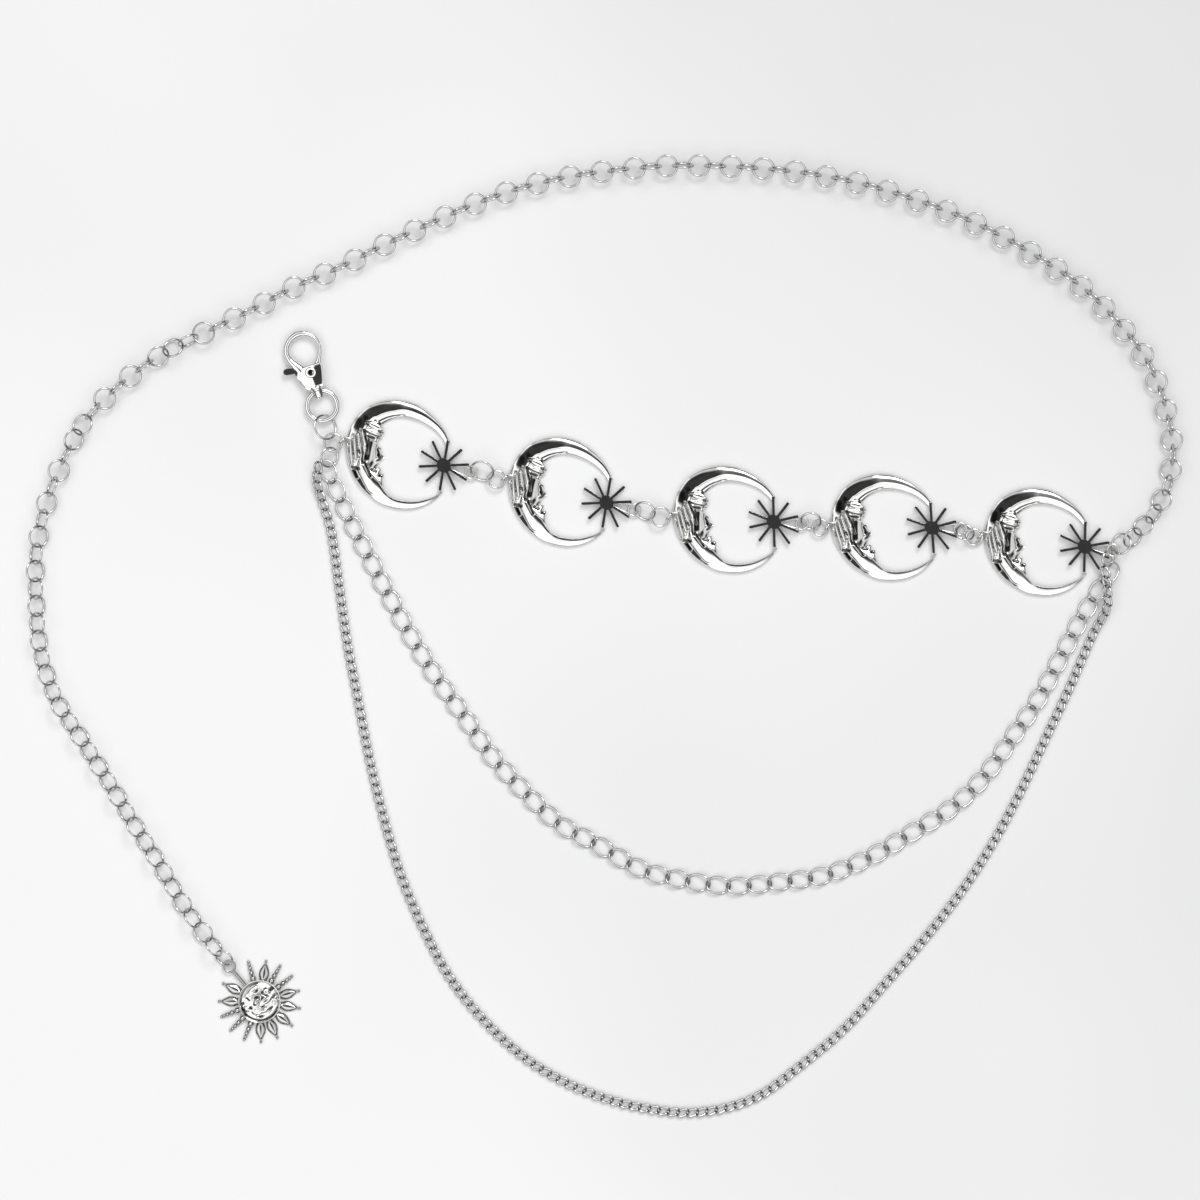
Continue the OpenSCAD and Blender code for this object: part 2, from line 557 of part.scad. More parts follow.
module clasp_body() {
    slot_back = BODY_FOOT + 1.6;
    color(SILVER)
        in_clasp() {
            difference() {
                union() {
                    translate([0, 0, -body_t / 2])
                        linear_extrude(body_t)
                            body_outline();
                    translate([hook_reach, 0, -hook_t / 2])
                        linear_extrude(hook_t)
                            hook_outline();
                }
                translate([slot_back, -body_w, -slot_w / 2])
                    cube([rivet_reach + TAB_FRONT + TAB_W + SLOT_GAP - slot_back, 2 * body_w, slot_w]);
                translate([rivet_reach, 0, -body_t])
                    cylinder(h = 2 * body_t, r = rivet_r, $fn = ROUND);
            }
            // post of the swivel and its head
            translate([swivel_r + swivel_wire / 2 - SHOULDER_LEN - HEAD_LEN - fit_gap * 2, 0, 0])
                rotate([0, 90, 0])
                    cylinder(h = HEAD_LEN, r = HEAD_R, $fn = ROUND);
            translate([swivel_r + swivel_wire / 2 - SHOULDER_LEN - HEAD_LEN, 0, 0])
                rotate([0, 90, 0])
                    cylinder(h = SHOULDER_LEN + HEAD_LEN + 1, r = post_r, $fn = ROUND);
        }
}

module clasp_rivet() {
    color(SILVER)
        in_clasp()
            translate([rivet_reach, 0, -body_t / 2])
                cylinder(h = body_t, r = rivet_r, $fn = ROUND);
}

// Lever: a hub on the rivet, the arm that closes the mouth and the thumb tab
module clasp_lever() {
    function tip(a) = [rivet_reach + TIP_R * cos(a), TIP_R * sin(a)];
    arm_in = hook_r - hook_bar / 2;
    arm_out = hook_r + hook_bar / 2;
    front = rivet_reach + TAB_FRONT;
    color(SILVER)
        in_clasp()
            translate([0, 0, -lever_t / 2])
                difference() {
                    union() {
                        translate([rivet_reach, 0, 0])
                            cylinder(h = lever_t, r = RIVET_BOSS, $fn = ROUND);
                        linear_extrude(lever_t)
                            polygon([[rivet_reach - 1, -1.6], [rivet_reach + 1.4, -3.6],
                                [hook_reach - 2.5, -arm_out + 0.5], tip(-39.5), tip(-35.5), tip(-31.5),
                                [hook_reach - 2.3, -arm_in + 0.4], [rivet_reach + 3.6, -2.2],
                                [rivet_reach + 1.4, 1.2]]);
                        linear_extrude(lever_t)
                            polygon([[rivet_reach - 0.6, 0], [front, TAB_LEN - 0.8],
                                [front + 0.4 * TAB_W, TAB_LEN], [front + 0.8 * TAB_W, TAB_LEN - 0.2],
                                [front + TAB_W, TAB_LEN - 1.2], [front, 0]]);
                    }
                    translate([rivet_reach, 0, -lever_t])
                        cylinder(h = 3 * lever_t, r = rivet_r + fit_gap, $fn = ROUND);
                }
}

// Sun pendant: a domed disc in a raised rim, rays all round, and an eye on a stem
module sun_disc() {
    dome = sun_r - sun_rim;
    floor_h = sun_h * 0.55;
    rise = sun_face_h - floor_h;
    sphere_r = (dome * dome + rise * rise) / (2 * rise);
    difference() {
        cylinder(h = sun_h, r = sun_r, $fn = 2 * ROUND);
        translate([0, 0, floor_h])
            cylinder(h = sun_h, r = dome, $fn = 2 * ROUND);
    }
    intersection() {
        translate([0, 0, sun_face_h - sphere_r])
            sphere(r = sphere_r, $fn = 2 * ROUND);
        cylinder(h = sun_face_h, r = dome + sun_rim / 2, $fn = 2 * ROUND);
    }
}

// A leaf ray: an extruded outline that swells and runs to a point
module leaf_ray(bearing) {
    root = sun_r - 0.4;
    far = sun_ray_len - root;
    rotate([0, 0, bearing])
        linear_extrude(sun_ray_t)
            polygon([for (side = [1, -1]) each [for (i = [0 : 4])
                let (k = side > 0 ? i : 4 - i, t = k / 4, w = [0.9, 1.15, 1, 0.6, 0.2][k])
                    [root + far * t, side * w]]]);
}

// A beaded ray: a short stem that carries beads of falling size
module bead_ray(bearing) {
    rotate([0, 0, bearing]) {
        translate([sun_r - 0.4, -0.4, 0])
            cube([sun_ray_len - sun_r - 0.2, 0.8, sun_ray_t * 0.7]);
        for (bead = [[0.12, 0.95], [0.42, 0.8], [0.7, 0.65], [0.93, 0.5]])
            translate([sun_r + (sun_ray_len - sun_r) * bead[0], 0, 0.65 * bead[1]])
                cylinder(h = sun_ray_t - 0.65 * bead[1], r = bead[1], $fn = ROUND);
    }
}

module sun_pendant() {
    color(SILVER)
        translate([SUN_AT[0], SUN_AT[1], 0]) {
            sun_disc();
            for (ray = SUN_RAYS)
                if (ray[1] == 1)
                    leaf_ray(ray[0]);
                else
                    bead_ray(ray[0]);
            rotate([0, 0, SUN_EYE_BEARING]) {
                translate([sun_r - 0.4, -0.6, 0])
                    cube([sun_eye_reach - sun_r - sun_eye_r + 0.5, 1.2, SUN_EYE_Z + 0.3]);
                translate([sun_eye_reach, 0, SUN_EYE_Z])
                    torus(sun_eye_r, sun_eye_wire);
            }
        }
}

clasp_body();
clasp_lever();
clasp_rivet();
swivel_eye();
placed_ring(FIRST_LOOP, CLASP_RING_AT, clasp_ring_r);  // clasp_ring
placed_ring(FIRST_LOOP, CHARM_RING_AT, charm_ring_r);  // charm_ring
placed_ring(FIRST_LOOP, SWAG_RING_AT, swag_ring_r);  // swag_ring
for (k = [0 : 4])
    moon_charm(k);
for (k = [0 : 3]) {
    eye_ring(k);
    loop_ring(k);
}
placed_ring(eye_place(4), END_RING_AT, end_ring_r);  // end_ring
placed_ring(eye_place(4), DROP_RING_AT, drop_ring_r);  // drop_ring
long_chain();
placed_ring([0, 0], SUN_RING_AT, sun_ring_r);  // sun_ring
sun_pendant();
curb_chain();
thin_chain();
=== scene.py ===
"""Silver waist chain as it lies: crescent charms, a swivel clasp, ring chains and a sun pendant.

Lengths are in millimetres in the part's own frame, with X to the right, Y up the picture and Z up from the
surface. They become metres when a mesh is made.
"""

import bpy
import numpy as np
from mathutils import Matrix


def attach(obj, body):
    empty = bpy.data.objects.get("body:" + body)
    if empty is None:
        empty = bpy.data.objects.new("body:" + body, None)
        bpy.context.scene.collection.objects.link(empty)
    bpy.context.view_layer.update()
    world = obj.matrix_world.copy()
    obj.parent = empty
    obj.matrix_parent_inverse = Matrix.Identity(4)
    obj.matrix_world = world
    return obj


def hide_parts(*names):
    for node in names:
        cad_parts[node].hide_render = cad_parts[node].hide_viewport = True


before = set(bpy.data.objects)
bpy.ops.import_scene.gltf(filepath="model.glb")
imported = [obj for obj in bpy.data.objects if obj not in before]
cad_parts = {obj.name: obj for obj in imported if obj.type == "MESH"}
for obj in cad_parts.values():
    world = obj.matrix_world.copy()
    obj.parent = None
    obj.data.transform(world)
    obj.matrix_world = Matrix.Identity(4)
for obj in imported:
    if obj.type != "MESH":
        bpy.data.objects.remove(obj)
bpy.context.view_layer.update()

MM = 0.001
# Millimetres that one pixel of the photograph covers
PIXEL = 0.36
# Lift of anything that lies on the surface
REST = 0.05

# Camera: the point that it looks straight down on, how much it takes in, and its height
VIEW_CENTRE = (-1.8, 12.96)
VIEW_WIDTH = 432
CAMERA_HEIGHT = 2600
SENSOR = 36
# How far the camera sees, in metres
CAMERA_SIGHT = 20

# Brightness of the studio by the angle from straight up: a dark hood over the camera, white all round it
STUDIO = [
    [0, 0.05], [6, 0.055], [11, 0.3], [17, 0.95], [24, 1.55], [40, 1.5], [50, 0.95], [60, 0.35], [72, 0.1],
    [90, 0.06], [180, 0.06]]
# Which way the studio is darker, and by how much against its middle
SHADE_SIDE = (0.5, 0.85, 0)
SHADE_DEPTH = 0.45
# Brightness of the backdrop where a view sees past the table
BACKDROP = 0.9
# Soft lamp: its strength, how wide it looks and its turns, in degrees
LAMP_ENERGY = 1.0
LAMP_ANGLE = 25
LAMP_TURN = [38, 0, 160]

# Table: half its size in metres, how fast its painted shade darkens it to the right and up, the scale of its
# broad patches of painted shade, its finish and tints
TABLE_HALF = 6.0
TABLE_SHADE_SLANT = (1.2, 0.8, 0)
TABLE_SHADE_NOISE = 3
TABLE_SHINE = 0.1
TABLE_ROUGH = 0.75
TABLE_TINTS = [[0.35, (0.828, 0.828, 0.835, 1)], [0.95, (0.68, 0.68, 0.687, 1)]]

# Silver: the stretch of its noise that counts, its share of blue, its ripple against its grain, and the
# colour of patina and painted shade
CLOUD_RANGE = [0.3, 0.7]
SILVER_BLUE = 0.985
RIPPLE_SCALE = 3
PATINA_AND_SHADE_COLOUR = (0.03, 0.03, 0.028, 1)
# Edges sharper than this many degrees get a bevel, and its width on the stars and on the lever
BEVEL_ANGLE = 35
STAR_BEVEL = 0.08
LEVER_BEVEL = 0.25

# Painted shade at a link's ends, where the links cross, as shares of half its length: where it starts and
# over how much it grows
END_SHADE_FROM = 0.65
END_SHADE_SPAN = 0.3
# Points of a smooth route for each stretch between two of its chosen points
ROUTE_STEPS = 8
# How far before and after a place the points lie that give a chain's heading; half that on the thin chain
HEADING_REACH = 3

# Long chain, as in the part: its route, rings and their roll, slack and sag by the number of the ring
LONG_ROUTE = [
    [188.5, 34], [199.5, 47.5], [204, 64.5], [201.5, 82], [195, 98.5], [184.5, 112.5], [172, 125],
    [157.5, 135], [142, 144], [126, 151.5], [109.5, 157.5], [92.5, 162.5], [75, 166], [57.5, 168],
    [39.5, 169], [22, 169], [4, 167.5], [-13.5, 165], [-30.5, 161], [-47.5, 155], [-63.5, 148],
    [-79.5, 140.5], [-95.5, 132.5], [-111.5, 125.5], [-127.5, 117], [-143, 109.5], [-159, 101.5],
    [-173.5, 91], [-186, 78.5], [-194.5, 63.5], [-201, 47], [-204.5, 29.5], [-204.5, 12], [-203, -5.5],
    [-197.5, -22.5], [-188, -37.5], [-178.5, -52.5], [-169.5, -67.5], [-160, -82.5], [-151, -97.5],
    [-140, -112.5]]
ROLO_R = 3.75
ROLO_WIRE = 0.85
ROLO_COUNT = 120
ROLO_PITCH = 5.4
ROLO_GROWTH = 0.009
ROLO_START = 1.5
ROLO_END_SHADE = 0.25
ROLO_SLACK = [[0, 0.4], [5, 1.8], [40, 0]]
ROLO_SAG = [[0, 0.4], [5, 1.2], [25, 1], [40, 0.4]]
ROLO_ROLL = [
    [0, 45], [6, 75], [76, 75], [81, 165], [84, 165], [88, 255], [92, 240], [97, 225], [110, 225],
    [119, 212]]

# Curb chain, as in the part
CURB_ROUTE = [
    [-99.5, 59], [-92.5, 43.5], [-85, 28.5], [-77, 13], [-69, -1.5], [-60, -16], [-50, -30],
    [-40.5, -43.5], [-29, -56], [-16.5, -67.5], [-2, -75.5], [13, -84], [29, -88], [46, -90], [63, -88.5],
    [79.5, -86], [95.5, -79.5], [110, -71], [124.5, -62], [136.5, -50.5], [146.5, -36.5], [156, -22.5],
    [164, -7.5], [172, 7.5], [181.3, 22.5]]
CURB_A = 4.3
CURB_B = 2.95
CURB_TWIST = 0.8
CURB_WIRE = 0.8
CURB_COUNT = 56
CURB_END_ROLL = [17, -16]
CURB_END_LIFT = 0.65
CURB_END_LINKS = 6
CURB_END_SHADE = 0.4

# Thin chain: its route with the height of its middle, as in the part, and its single links
THIN_ROUTE = [
    [-103, 61.3, 3.7], [-103.6, 55.5, 2.3], [-101.6, 48, 1.1], [-98.5, 37.5, 0.95], [-95.5, 16.5, 0.95],
    [-92.5, -4, 0.9], [-88.5, -25, 0.9], [-84.5, -45.5, 0.9], [-79.5, -66, 0.9], [-73.5, -86, 0.9],
    [-65.5, -105, 0.9], [-55.5, -123.5, 0.9], [-42, -140, 0.9], [-26.5, -153.5, 0.9], [-8, -163.5, 0.9],
    [12, -169.5, 0.9], [33, -171.5, 0.9], [53.5, -166.5, 0.9], [70.5, -154.5, 0.9], [86.5, -141, 0.9],
    [100.5, -125.5, 0.9], [114.5, -109.5, 0.9], [127.5, -93, 0.9], [139, -75.5, 0.9], [149, -57, 0.9],
    [158, -38, 0.9], [167, -19, 0.95], [175.5, 0.5, 1.1], [180.3, 9.5, 2.5], [180.6, 16, 4.6],
    [179.8, 23.8, 4.5]]
THIN_A = 2.15
THIN_B = 1.2
THIN_TWIST = 0.44
THIN_WIRE = 0.9
THIN_PITCH = 3.45
# Slant of its links to the chain's way, in degrees
THIN_SLANT = 20
THIN_END_SHADE = 0.65
# How far from the route's ends the outermost links' middles are, and the points for each stretch
THIN_INSET = 0.4 * THIN_A
THIN_STEPS = 4

# Jump rings and the charms' places, as in the part
RING_WIRE = 0.86
RING_CUT = 2.5
# Where the first ring's cut is, and how much further round the next ring's is, in degrees
CUT_START = 40
CUT_STEP = 77
FIRST_LOOP = [-94.5, 70.4]
CHARM_TURN = [-10.8, -10.7, 0, 2.3, -3]
JOIN_STEP = [[12, -1.7], [12.6, -2.2], [9, -0.9], [7.2, -2.4]]
# Rings hooked in an eye or a loop: [x and y from it, height, radius, roll, pitch]
EYE_RING = [
    [3.8, 0.6, 2.9, 4.1, 34, -14], [3.9, -0.4, 2.8, 3.7, 32, -24], [3.1, 1, 2.5, 3.5, 34, -5],
    [1.6, -1.3, 2.4, 3.2, -33, 14]]
LOOP_RING = [
    [-3, -0.7, 2.4, 3.1, -1, 2], [-3.2, -0.3, 2.9, 3.4, 0, 5], [-2.5, -0.5, 2, 2.9, -1, 0],
    [-2.3, -0.6, 1.9, 2.9, 12, 2]]
CLASP_RING = [-6.1, 4.7, 3, 4.4, -12, 33]
CHARM_RING = [-3.3, -0.8, 2.7, 3.2, -2, -1]
SWAG_RING = [-4.6, -6.1, 2.6, 3.5, 11, 32]
END_RING = [3, 2.3, 2.5, 3.7, -15, -30]
DROP_RING = [-1.9, -3.1, 2.6, 2.9, 5, 47]
SUN_RING = [-137, -115.7, 2.7, 3.2, 35.4, -28.2]

# Crescent charm, as in the part, save that the star's rays are 0.1 mm wider here
MOON_R = 19.5
MOON_STRETCH = 0.06
MOON_AXIS = 140
STAR_AT = np.array([0.846, -0.05]) * MOON_R
STAR_TURN = 16.2
STAR_Z = 0.85
STAR_T = 1.65
RAYS = 10
RAY_LEN = 9.3
RAY_W = 1.05
# Blunt tips of the rays: the length of their rounding, and half their width against the ray's width
RAY_ROUND = 0.25
RAY_BLUNT = 0.28
HUB_R = 2.7
# Points of the hub's edge between two rays
HUB_CORNERS = (0.4, 0.6)
EYE_R = 2.1
EYE_WIRE = 0.8
EYE_Z = 1.7
EYE_REACH = 10.3
EYE_ANGLE = -4
BAIL_T = 0.64
# Where the bail's bars start beside its middle line, and end behind and beside the eye's centre
BAIL_ROOT = 0.3
BAIL_BACK = 0.3 * EYE_R
BAIL_SIDE = 0.92 * EYE_R
LOOP_R = 1.7
LOOP_WIRE = 0.84
LOOP_ANGLE = 177
LOOP_OUT = 1.3
LOOP_HEADING = 50
LOOP_Z = LOOP_R + LOOP_WIRE / 2 + REST
# Stub that holds the loop: its length, how far below the loop's middle it is, and half its thickness
STUB_LEN = 2.2
STUB_DROP = 0.3
STUB_HALF = 0.6 * LOOP_WIRE

# The crescent's inner edge: [angle, distance from its centre in pixels of the photograph]
MOON_INNER = [
    [24, 47], [30, 45.8], [40, 43.5], [50, 41.5], [60, 40], [70, 38.7], [80, 37.8], [90, 37.4], [100, 37],
    [110, 36], [120, 35.5], [131, 35], [134, 27], [138, 26.3], [146, 23.6], [152, 24.4], [157, 25.7],
    [162, 24.4], [167, 23.3], [172, 19.8], [180, 18.7], [190, 17.5], [200, 16], [204, 15.5], [207, 17.9],
    [209, 20], [214, 21.4], [217, 25], [220, 28], [224, 24.4], [229, 23], [233, 26], [236, 27],
    [240, 25.5], [244, 26.3], [248, 30.6], [252, 33.5], [256, 36.5], [260, 39], [265, 41.2], [270, 42.5],
    [280, 44.5], [291, 46.8], [300, 49], [309, 51.3], [322, 54.7], [329.5, 55.6]]
# Cross sections of the crescent: angle, then the distance in pixels and the height of each knot,
# from the outer edge inwards, and last the height of the inner edge
MOON_ROWS = [
    [24, 51.6, 1.2, 51.2, 1.5, 50.2, 1.5, 49.8, 1.46, 49.2, 1.4, 48.6, 1.32, 48, 1.24, 47.5, 1.16, 1],
    [40, 50.5, 1.72, 49.8, 1.82, 48.4, 1.82, 47.3, 1.7, 46.4, 1.58, 45.5, 1.46, 44.8, 1.36, 44.1, 1.24, 1],
    [60, 50, 1.92, 47.8, 2.16, 46, 2.18, 44.3, 2, 43.1, 1.84, 42.1, 1.7, 41.3, 1.58, 40.6, 1.46, 1.1],
    [80, 51, 2.11, 47.6, 2.5, 45, 2.52, 43.2, 2.32, 41.9, 2.14, 40.6, 1.94, 39.5, 1.76, 38.6, 1.58, 1.1],
    [92, 52, 2.25, 48.2, 2.68, 45.2, 2.72, 43.4, 2.5, 41.8, 2.28, 40.2, 2.04, 39.1, 1.84, 38.1, 1.62, 1.1],
    [100, 52.8, 2.5, 49.4, 2.81, 44.8, 2.86, 43, 2.62, 41.4, 2.4, 39.8, 2.16, 39.2, 1.5, 38, 1.4, 0.9],
    [108, 53.5, 2.58, 50, 2.86, 44, 2.92, 42.4, 2.68, 40.9, 2.45, 39.3, 2.2, 38.7, 1.5, 37.5, 1.38, 0.9],
    [120, 55, 2.66, 52.4, 2.87, 44.2, 2.94, 42.6, 2.7, 41, 2.46, 39.3, 2.2, 38.7, 1.5, 37, 1.35, 0.9],
    [131, 56, 2.74, 54, 2.88, 44.4, 2.95, 42.8, 2.72, 41, 2.46, 39.2, 2.2, 38.6, 1.5, 36.6, 1.3, 0.9],
    [136, 56.4, 2.76, 54.6, 2.88, 45.5, 2.95, 44, 2.75, 42, 2.6, 37, 2.5, 33, 2.4, 29.5, 2, 1],
    [150, 56, 2.7, 54, 2.83, 45.5, 2.9, 43, 2.7, 42, 2.4, 37, 2.3, 32, 2.3, 28, 1.9, 1],
    [160, 55.4, 2.5, 52.6, 2.7, 44, 2.76, 42, 2.5, 40, 2.2, 36, 2, 32, 1.8, 28, 1.7, 1],
    [167, 54.6, 1.9, 52, 2.3, 46, 2.4, 40, 2.3, 35, 2.1, 32.4, 1.6, 28.8, 1.6, 24.5, 1.9, 1],
    [180, 53.8, 1.7, 51, 2.2, 46, 2.4, 40, 2.3, 36, 2.1, 33.4, 1.6, 29, 1.6, 23.5, 1.95, 1],
    [190, 52.6, 1.7, 50.4, 2.1, 46, 2.3, 41, 2.3, 37.6, 2.1, 34.6, 1.6, 29.4, 1.6, 23, 2.05, 1],
    [200, 51.6, 1.6, 50, 1.9, 47, 2, 44, 2.05, 39.6, 2.3, 36.6, 1.7, 31, 1.6, 23, 2.1, 1],
    [208, 51, 1.5, 50.2, 1.85, 45.6, 1.85, 44.2, 2.2, 38.8, 2.98, 36.6, 3, 33.6, 1.9, 27, 1.8, 1],
    [220, 50.4, 1.5, 49.9, 1.85, 45.4, 1.85, 44, 2.25, 37.6, 3, 35.2, 3, 33.8, 2.1, 30.5, 1.8, 1],
    [232, 50.4, 1.5, 50, 1.85, 46.6, 1.85, 45.2, 2.15, 37.2, 3, 35, 3, 33.4, 2.3, 29, 1.9, 1],
    [243, 50.6, 1.4, 50.3, 1.65, 48.8, 1.65, 47.2, 2, 37.2, 2.92, 35.1, 2.92, 33.6, 2.4, 29.5, 1.9, 1],
    [252, 51.4, 1.45, 50.2, 1.6, 48.4, 1.82, 45.6, 2.15, 39.4, 2.8, 37.4, 2.82, 36.4, 2.4, 35, 1.9, 1],
    [262, 52.4, 1.5, 51, 1.68, 49, 1.94, 46, 2.32, 43.2, 2.64, 41.3, 2.66, 40.9, 2.4, 40.4, 1.9, 1],
    [270, 52.8, 1.45, 51.4, 1.65, 49.5, 1.92, 47.6, 2.17, 46, 2.4, 44.1, 2.42, 43.6, 2.2, 43.1, 1.8, 0.9],
    [291, 55, 1.52, 53.9, 1.66, 52.6, 1.84, 51.4, 2, 50.2, 2.15, 48.3, 2.17, 47.8, 1.95, 47.3, 1.5, 0.8],
    [309, 56.6, 1.35, 55.9, 1.45, 55.2, 1.56, 54.5, 1.66, 53.8, 1.76, 52.3, 1.78, 51.9, 1.65, 51.6, 1.3, 0.7],
    [322, 57.1, 1.2, 56.8, 1.26, 56.6, 1.32, 56.4, 1.38, 56.1, 1.44, 55.3, 1.46, 55.15, 1.4, 55, 1.1, 0.65],
    [329.5, 57, 0.8, 56.85, 0.95, 56.7, 1.1, 56.55, 1.18, 56.4, 1.2, 56, 1.2, 55.9, 1.05, 55.8, 0.9, 0.6]]
# Steps of the mesh between two knots, from the inner edge outwards
MOON_STEPS = [5, 8, 8, 8, 7, 6, 11, 7, 3]
# Height of the crescent's outer edge, and the least height that a recess leaves
MOON_EDGE_H = 1.1
MOON_LEAST_H = 0.5
# Angles that the crescent and its face span, and the mesh's steps outside and inside the face
MOON_SPAN = [24, 329.5]
FACE_SPAN = [130, 262]
COARSE_STEP = 1.1
FINE_STEP = 0.5
# In pixels: least distance between two knots, and the border in which the relief fades out
KNOT_GAP = 1e-4
RELIEF_EDGE = 1.5
# Locks of hair and of the forelock, in pixels from the crescent's centre: [start, end, half width, rise]
LOCKS = [
    [(-41, 18), (-31, -6), 2.3, 0.42], [(-45, 15), (-37, -9), 2.2, 0.42],
    [(-48, 11), (-41, -15), 2.2, 0.42], [(-51, 6), (-44.5, -20), 2.2, 0.4],
    [(-53.5, 0), (-48, -22), 2, 0.35], [(-37, -6), (-37, -21), 2.2, 0.42],
    [(-39, 25.5), (-17, 20), 4.2, 0.6], [(-38, 18.5), (-17, 14), 3.6, 0.6],
    [(-35, 13), (-21, 9), 2.8, 0.5]]
# Recesses of the crescent and marks of painted shade: [start, end, half width in pixels, depth, how dark it
# is]; the recesses get patina and painted shade, and marks of little or no depth are painted shade alone
RECESSES_AND_SHADE_MARKS = [
    [(-43, 17), (-35, -6), 0.8, 0.2, 0.75], [(-46.5, 12), (-39.5, -11), 0.7, 0.2, 0.65],
    [(-49.8, 7), (-43.2, -17), 0.7, 0.2, 0.6], [(-52.4, 1), (-46.8, -20), 0.6, 0.15, 0.4],
    [(-39, 17), (-34, 6), 1.2, 0.4, 0.9], [(-34, 12), (-28.5, 11), 1.7, 0.4, 1],
    [(-32.5, 9), (-33, -13), 1.6, 0.05, 0.95], [(-30, 7), (-30, -16), 2.6, 0.05, 0.6],
    [(-33.5, -13), (-24, -27), 1.7, 0.1, 0.75], [(-22, 1), (-17.4, -6.6), 1.1, 0.3, 0.95],
    [(-20.6, -4.4), (-17.4, -6.6), 1.5, 0.3, 0.95], [(-24, -20), (-20, -21), 1.5, 0.3, 0.95],
    [(-15.2, -24), (-14.8, -24.3), 1.5, 0.3, 0.95], [(-44, -21.5), (-38, -22), 1.5, 0.3, 0.95],
    [(-42, -23.5), (-37.5, -30), 2.2, 0.1, 0.95], [(-40.4, -3.5), (-39.4, -6), 1.2, 0.3, 0.9],
    [(-24, 19), (-20, 18), 0.9, 0.2, 0.6], [(-37, 15.5), (-34, 15), 1, 0.2, 0.7],
    [(-30, 17.4), (-22, 15.6), 0.5, 0.15, 0.5], [(-46, 25), (-46, 17), 4, 0, 0.85],
    [(-40, 30), (-37, 24), 2.5, 0, 0.8], [(-26, 6), (-25, -15), 2.4, 0, 0.5],
    [(-21, -15), (-17, -24), 3, 0, 0.25], [(8, 50), (-9, 50.5), 2.6, 0, 0.3],
    [(-9, 50.5), (-23, 47), 2.6, 0, 0.35], [(-23, 47), (-36, 40.5), 2.4, 0, 0.4],
    [(-6.8, 38.4), (-13.3, 36.6), 0.6, 0, 0.7], [(-13.3, 36.6), (-19.5, 33.7), 0.7, 0, 0.9],
    [(-19.5, 33.7), (-26.1, 28.9), 0.8, 0, 0.95]]

# Clasp, in its own frame: X towards the hook from the swivel eye's centre, as in the part
CLASP_AT = [-101.7, 82.9]
CLASP_HEADING = 108.9
BODY_T = 4.6
CLASP_Z = BODY_T / 2 + REST
SWIVEL_R = 5.4
SWIVEL_WIRE = 1.8
BODY_FOOT = SWIVEL_R + SWIVEL_WIRE / 2 + 0.4
SLOT_W = 1.9
SLOT_BACK = BODY_FOOT + 1.6
RIVET_REACH = 12.5
LEVER_T = 1.6
# Cheeks of the body: [X, right edge, ridge, left edge, height of the ridge]
CHEEK = [
    [6.7, -2.9, -0.1, 3.5, 2.25], [8.5, -3.3, 0, 4.1, 2.3], [10.5, -3.9, 0, 4.8, 2.3],
    [12.5, -4.4, -0.8, 5.3, 2.3], [14.2, -4.6, -1.8, 5.7, 2.3], [15.1, -3.9, -1.4, 5.9, 2.2]]
# A cheek's fall left of its ridge, the reach of its rounding, how much less at its ends, least thickness
CHEEK_SLOPE = 0.2
CHEEK_ROUND = 0.5
CHEEK_END = 0.1
CHEEK_LEAST_T = 0.15
# Hook's bar, from the body round to its mouth: [X, Y, half width, half thickness]
HOOK = [
    [13.2, 2.8, 2.4, 1.4], [15.2, 3.8, 2, 1.3], [17.4, 5, 1.5, 1.1], [19.6, 5.9, 1.15, 1],
    [22, 6.1, 1.05, 0.95], [24.4, 5.1, 1.05, 0.95], [26.2, 3.2, 1.1, 0.95], [27.1, 0.7, 1.15, 0.95],
    [26.8, -2, 1.05, 0.95], [25.3, -4.3, 0.9, 0.9], [23.3, -5.6, 0.8, 0.9], [21.35, -6, 0.7, 0.9]]
# Lever's bar from its hub to the mouth: [X, Y, half width]
LEVER = [
    [11.6, -0.6, 1.4], [12.8, -1.8, 1.7], [14.2, -2.9, 1.45], [16.2, -4.2, 0.95], [18.4, -5.4, 0.75],
    [20.4, -5.95, 0.7], [21.1, -6, 0.7]]
# Thumb tab of the lever: outline in the clasp's frame
TAB = [
    [12.4, 0.5], [13.9, 5.2], [14, 7], [14.3, 8.6], [14.9, 9.4], [15.8, 9.5], [16.6, 8.9], [16.7, 7.6],
    [16.2, 6], [16.4, 5.2], [14.6, 0.4]]
# Turned parts of the clasp in rows of [radius, height], and where they stand
POST = [[1, -1.2], [1, 2.6]]
POST_HEAD = [[1.1, -0.4], [1.5, -0.2], [1.5, 0.2], [1.1, 0.4]]
POST_FOOT = [[2, -0.5], [2.6, -0.3], [2.7, 0], [2.7, 0.5]]
SHOULDER = [[1.05, -0.5], [1.6, -0.5], [1.85, -0.2], [1.85, 1.6], [2.2, 2], [2.4, 2.6], [1.9, 3], [1.05, 3]]
RIVET = [
    [1.6, -2.3], [1.6, 2.15], [2.05, 2.28], [2.05, 2.34], [1.83, 2.38], [1.76, 2.6], [1.35, 2.7],
    [1.05, 2.55], [0.95, 2.3], [0.5, 2.25]]
POST_X = BODY_FOOT - 2
HEAD_X = 2.9
SHOULDER_X = SWIVEL_R + SWIVEL_WIRE / 2 - 2.8
# Painted shade darkens the rivet inside and outside these radii, in its dimple and round its rim, and leaves
# it bright between them
RIVET_UNSHADED = [1, 1.8]
RIVET_SHADE = 0.9
# Height of the swivel ring's wire as a share of its width
SWIVEL_FLAT = 0.8

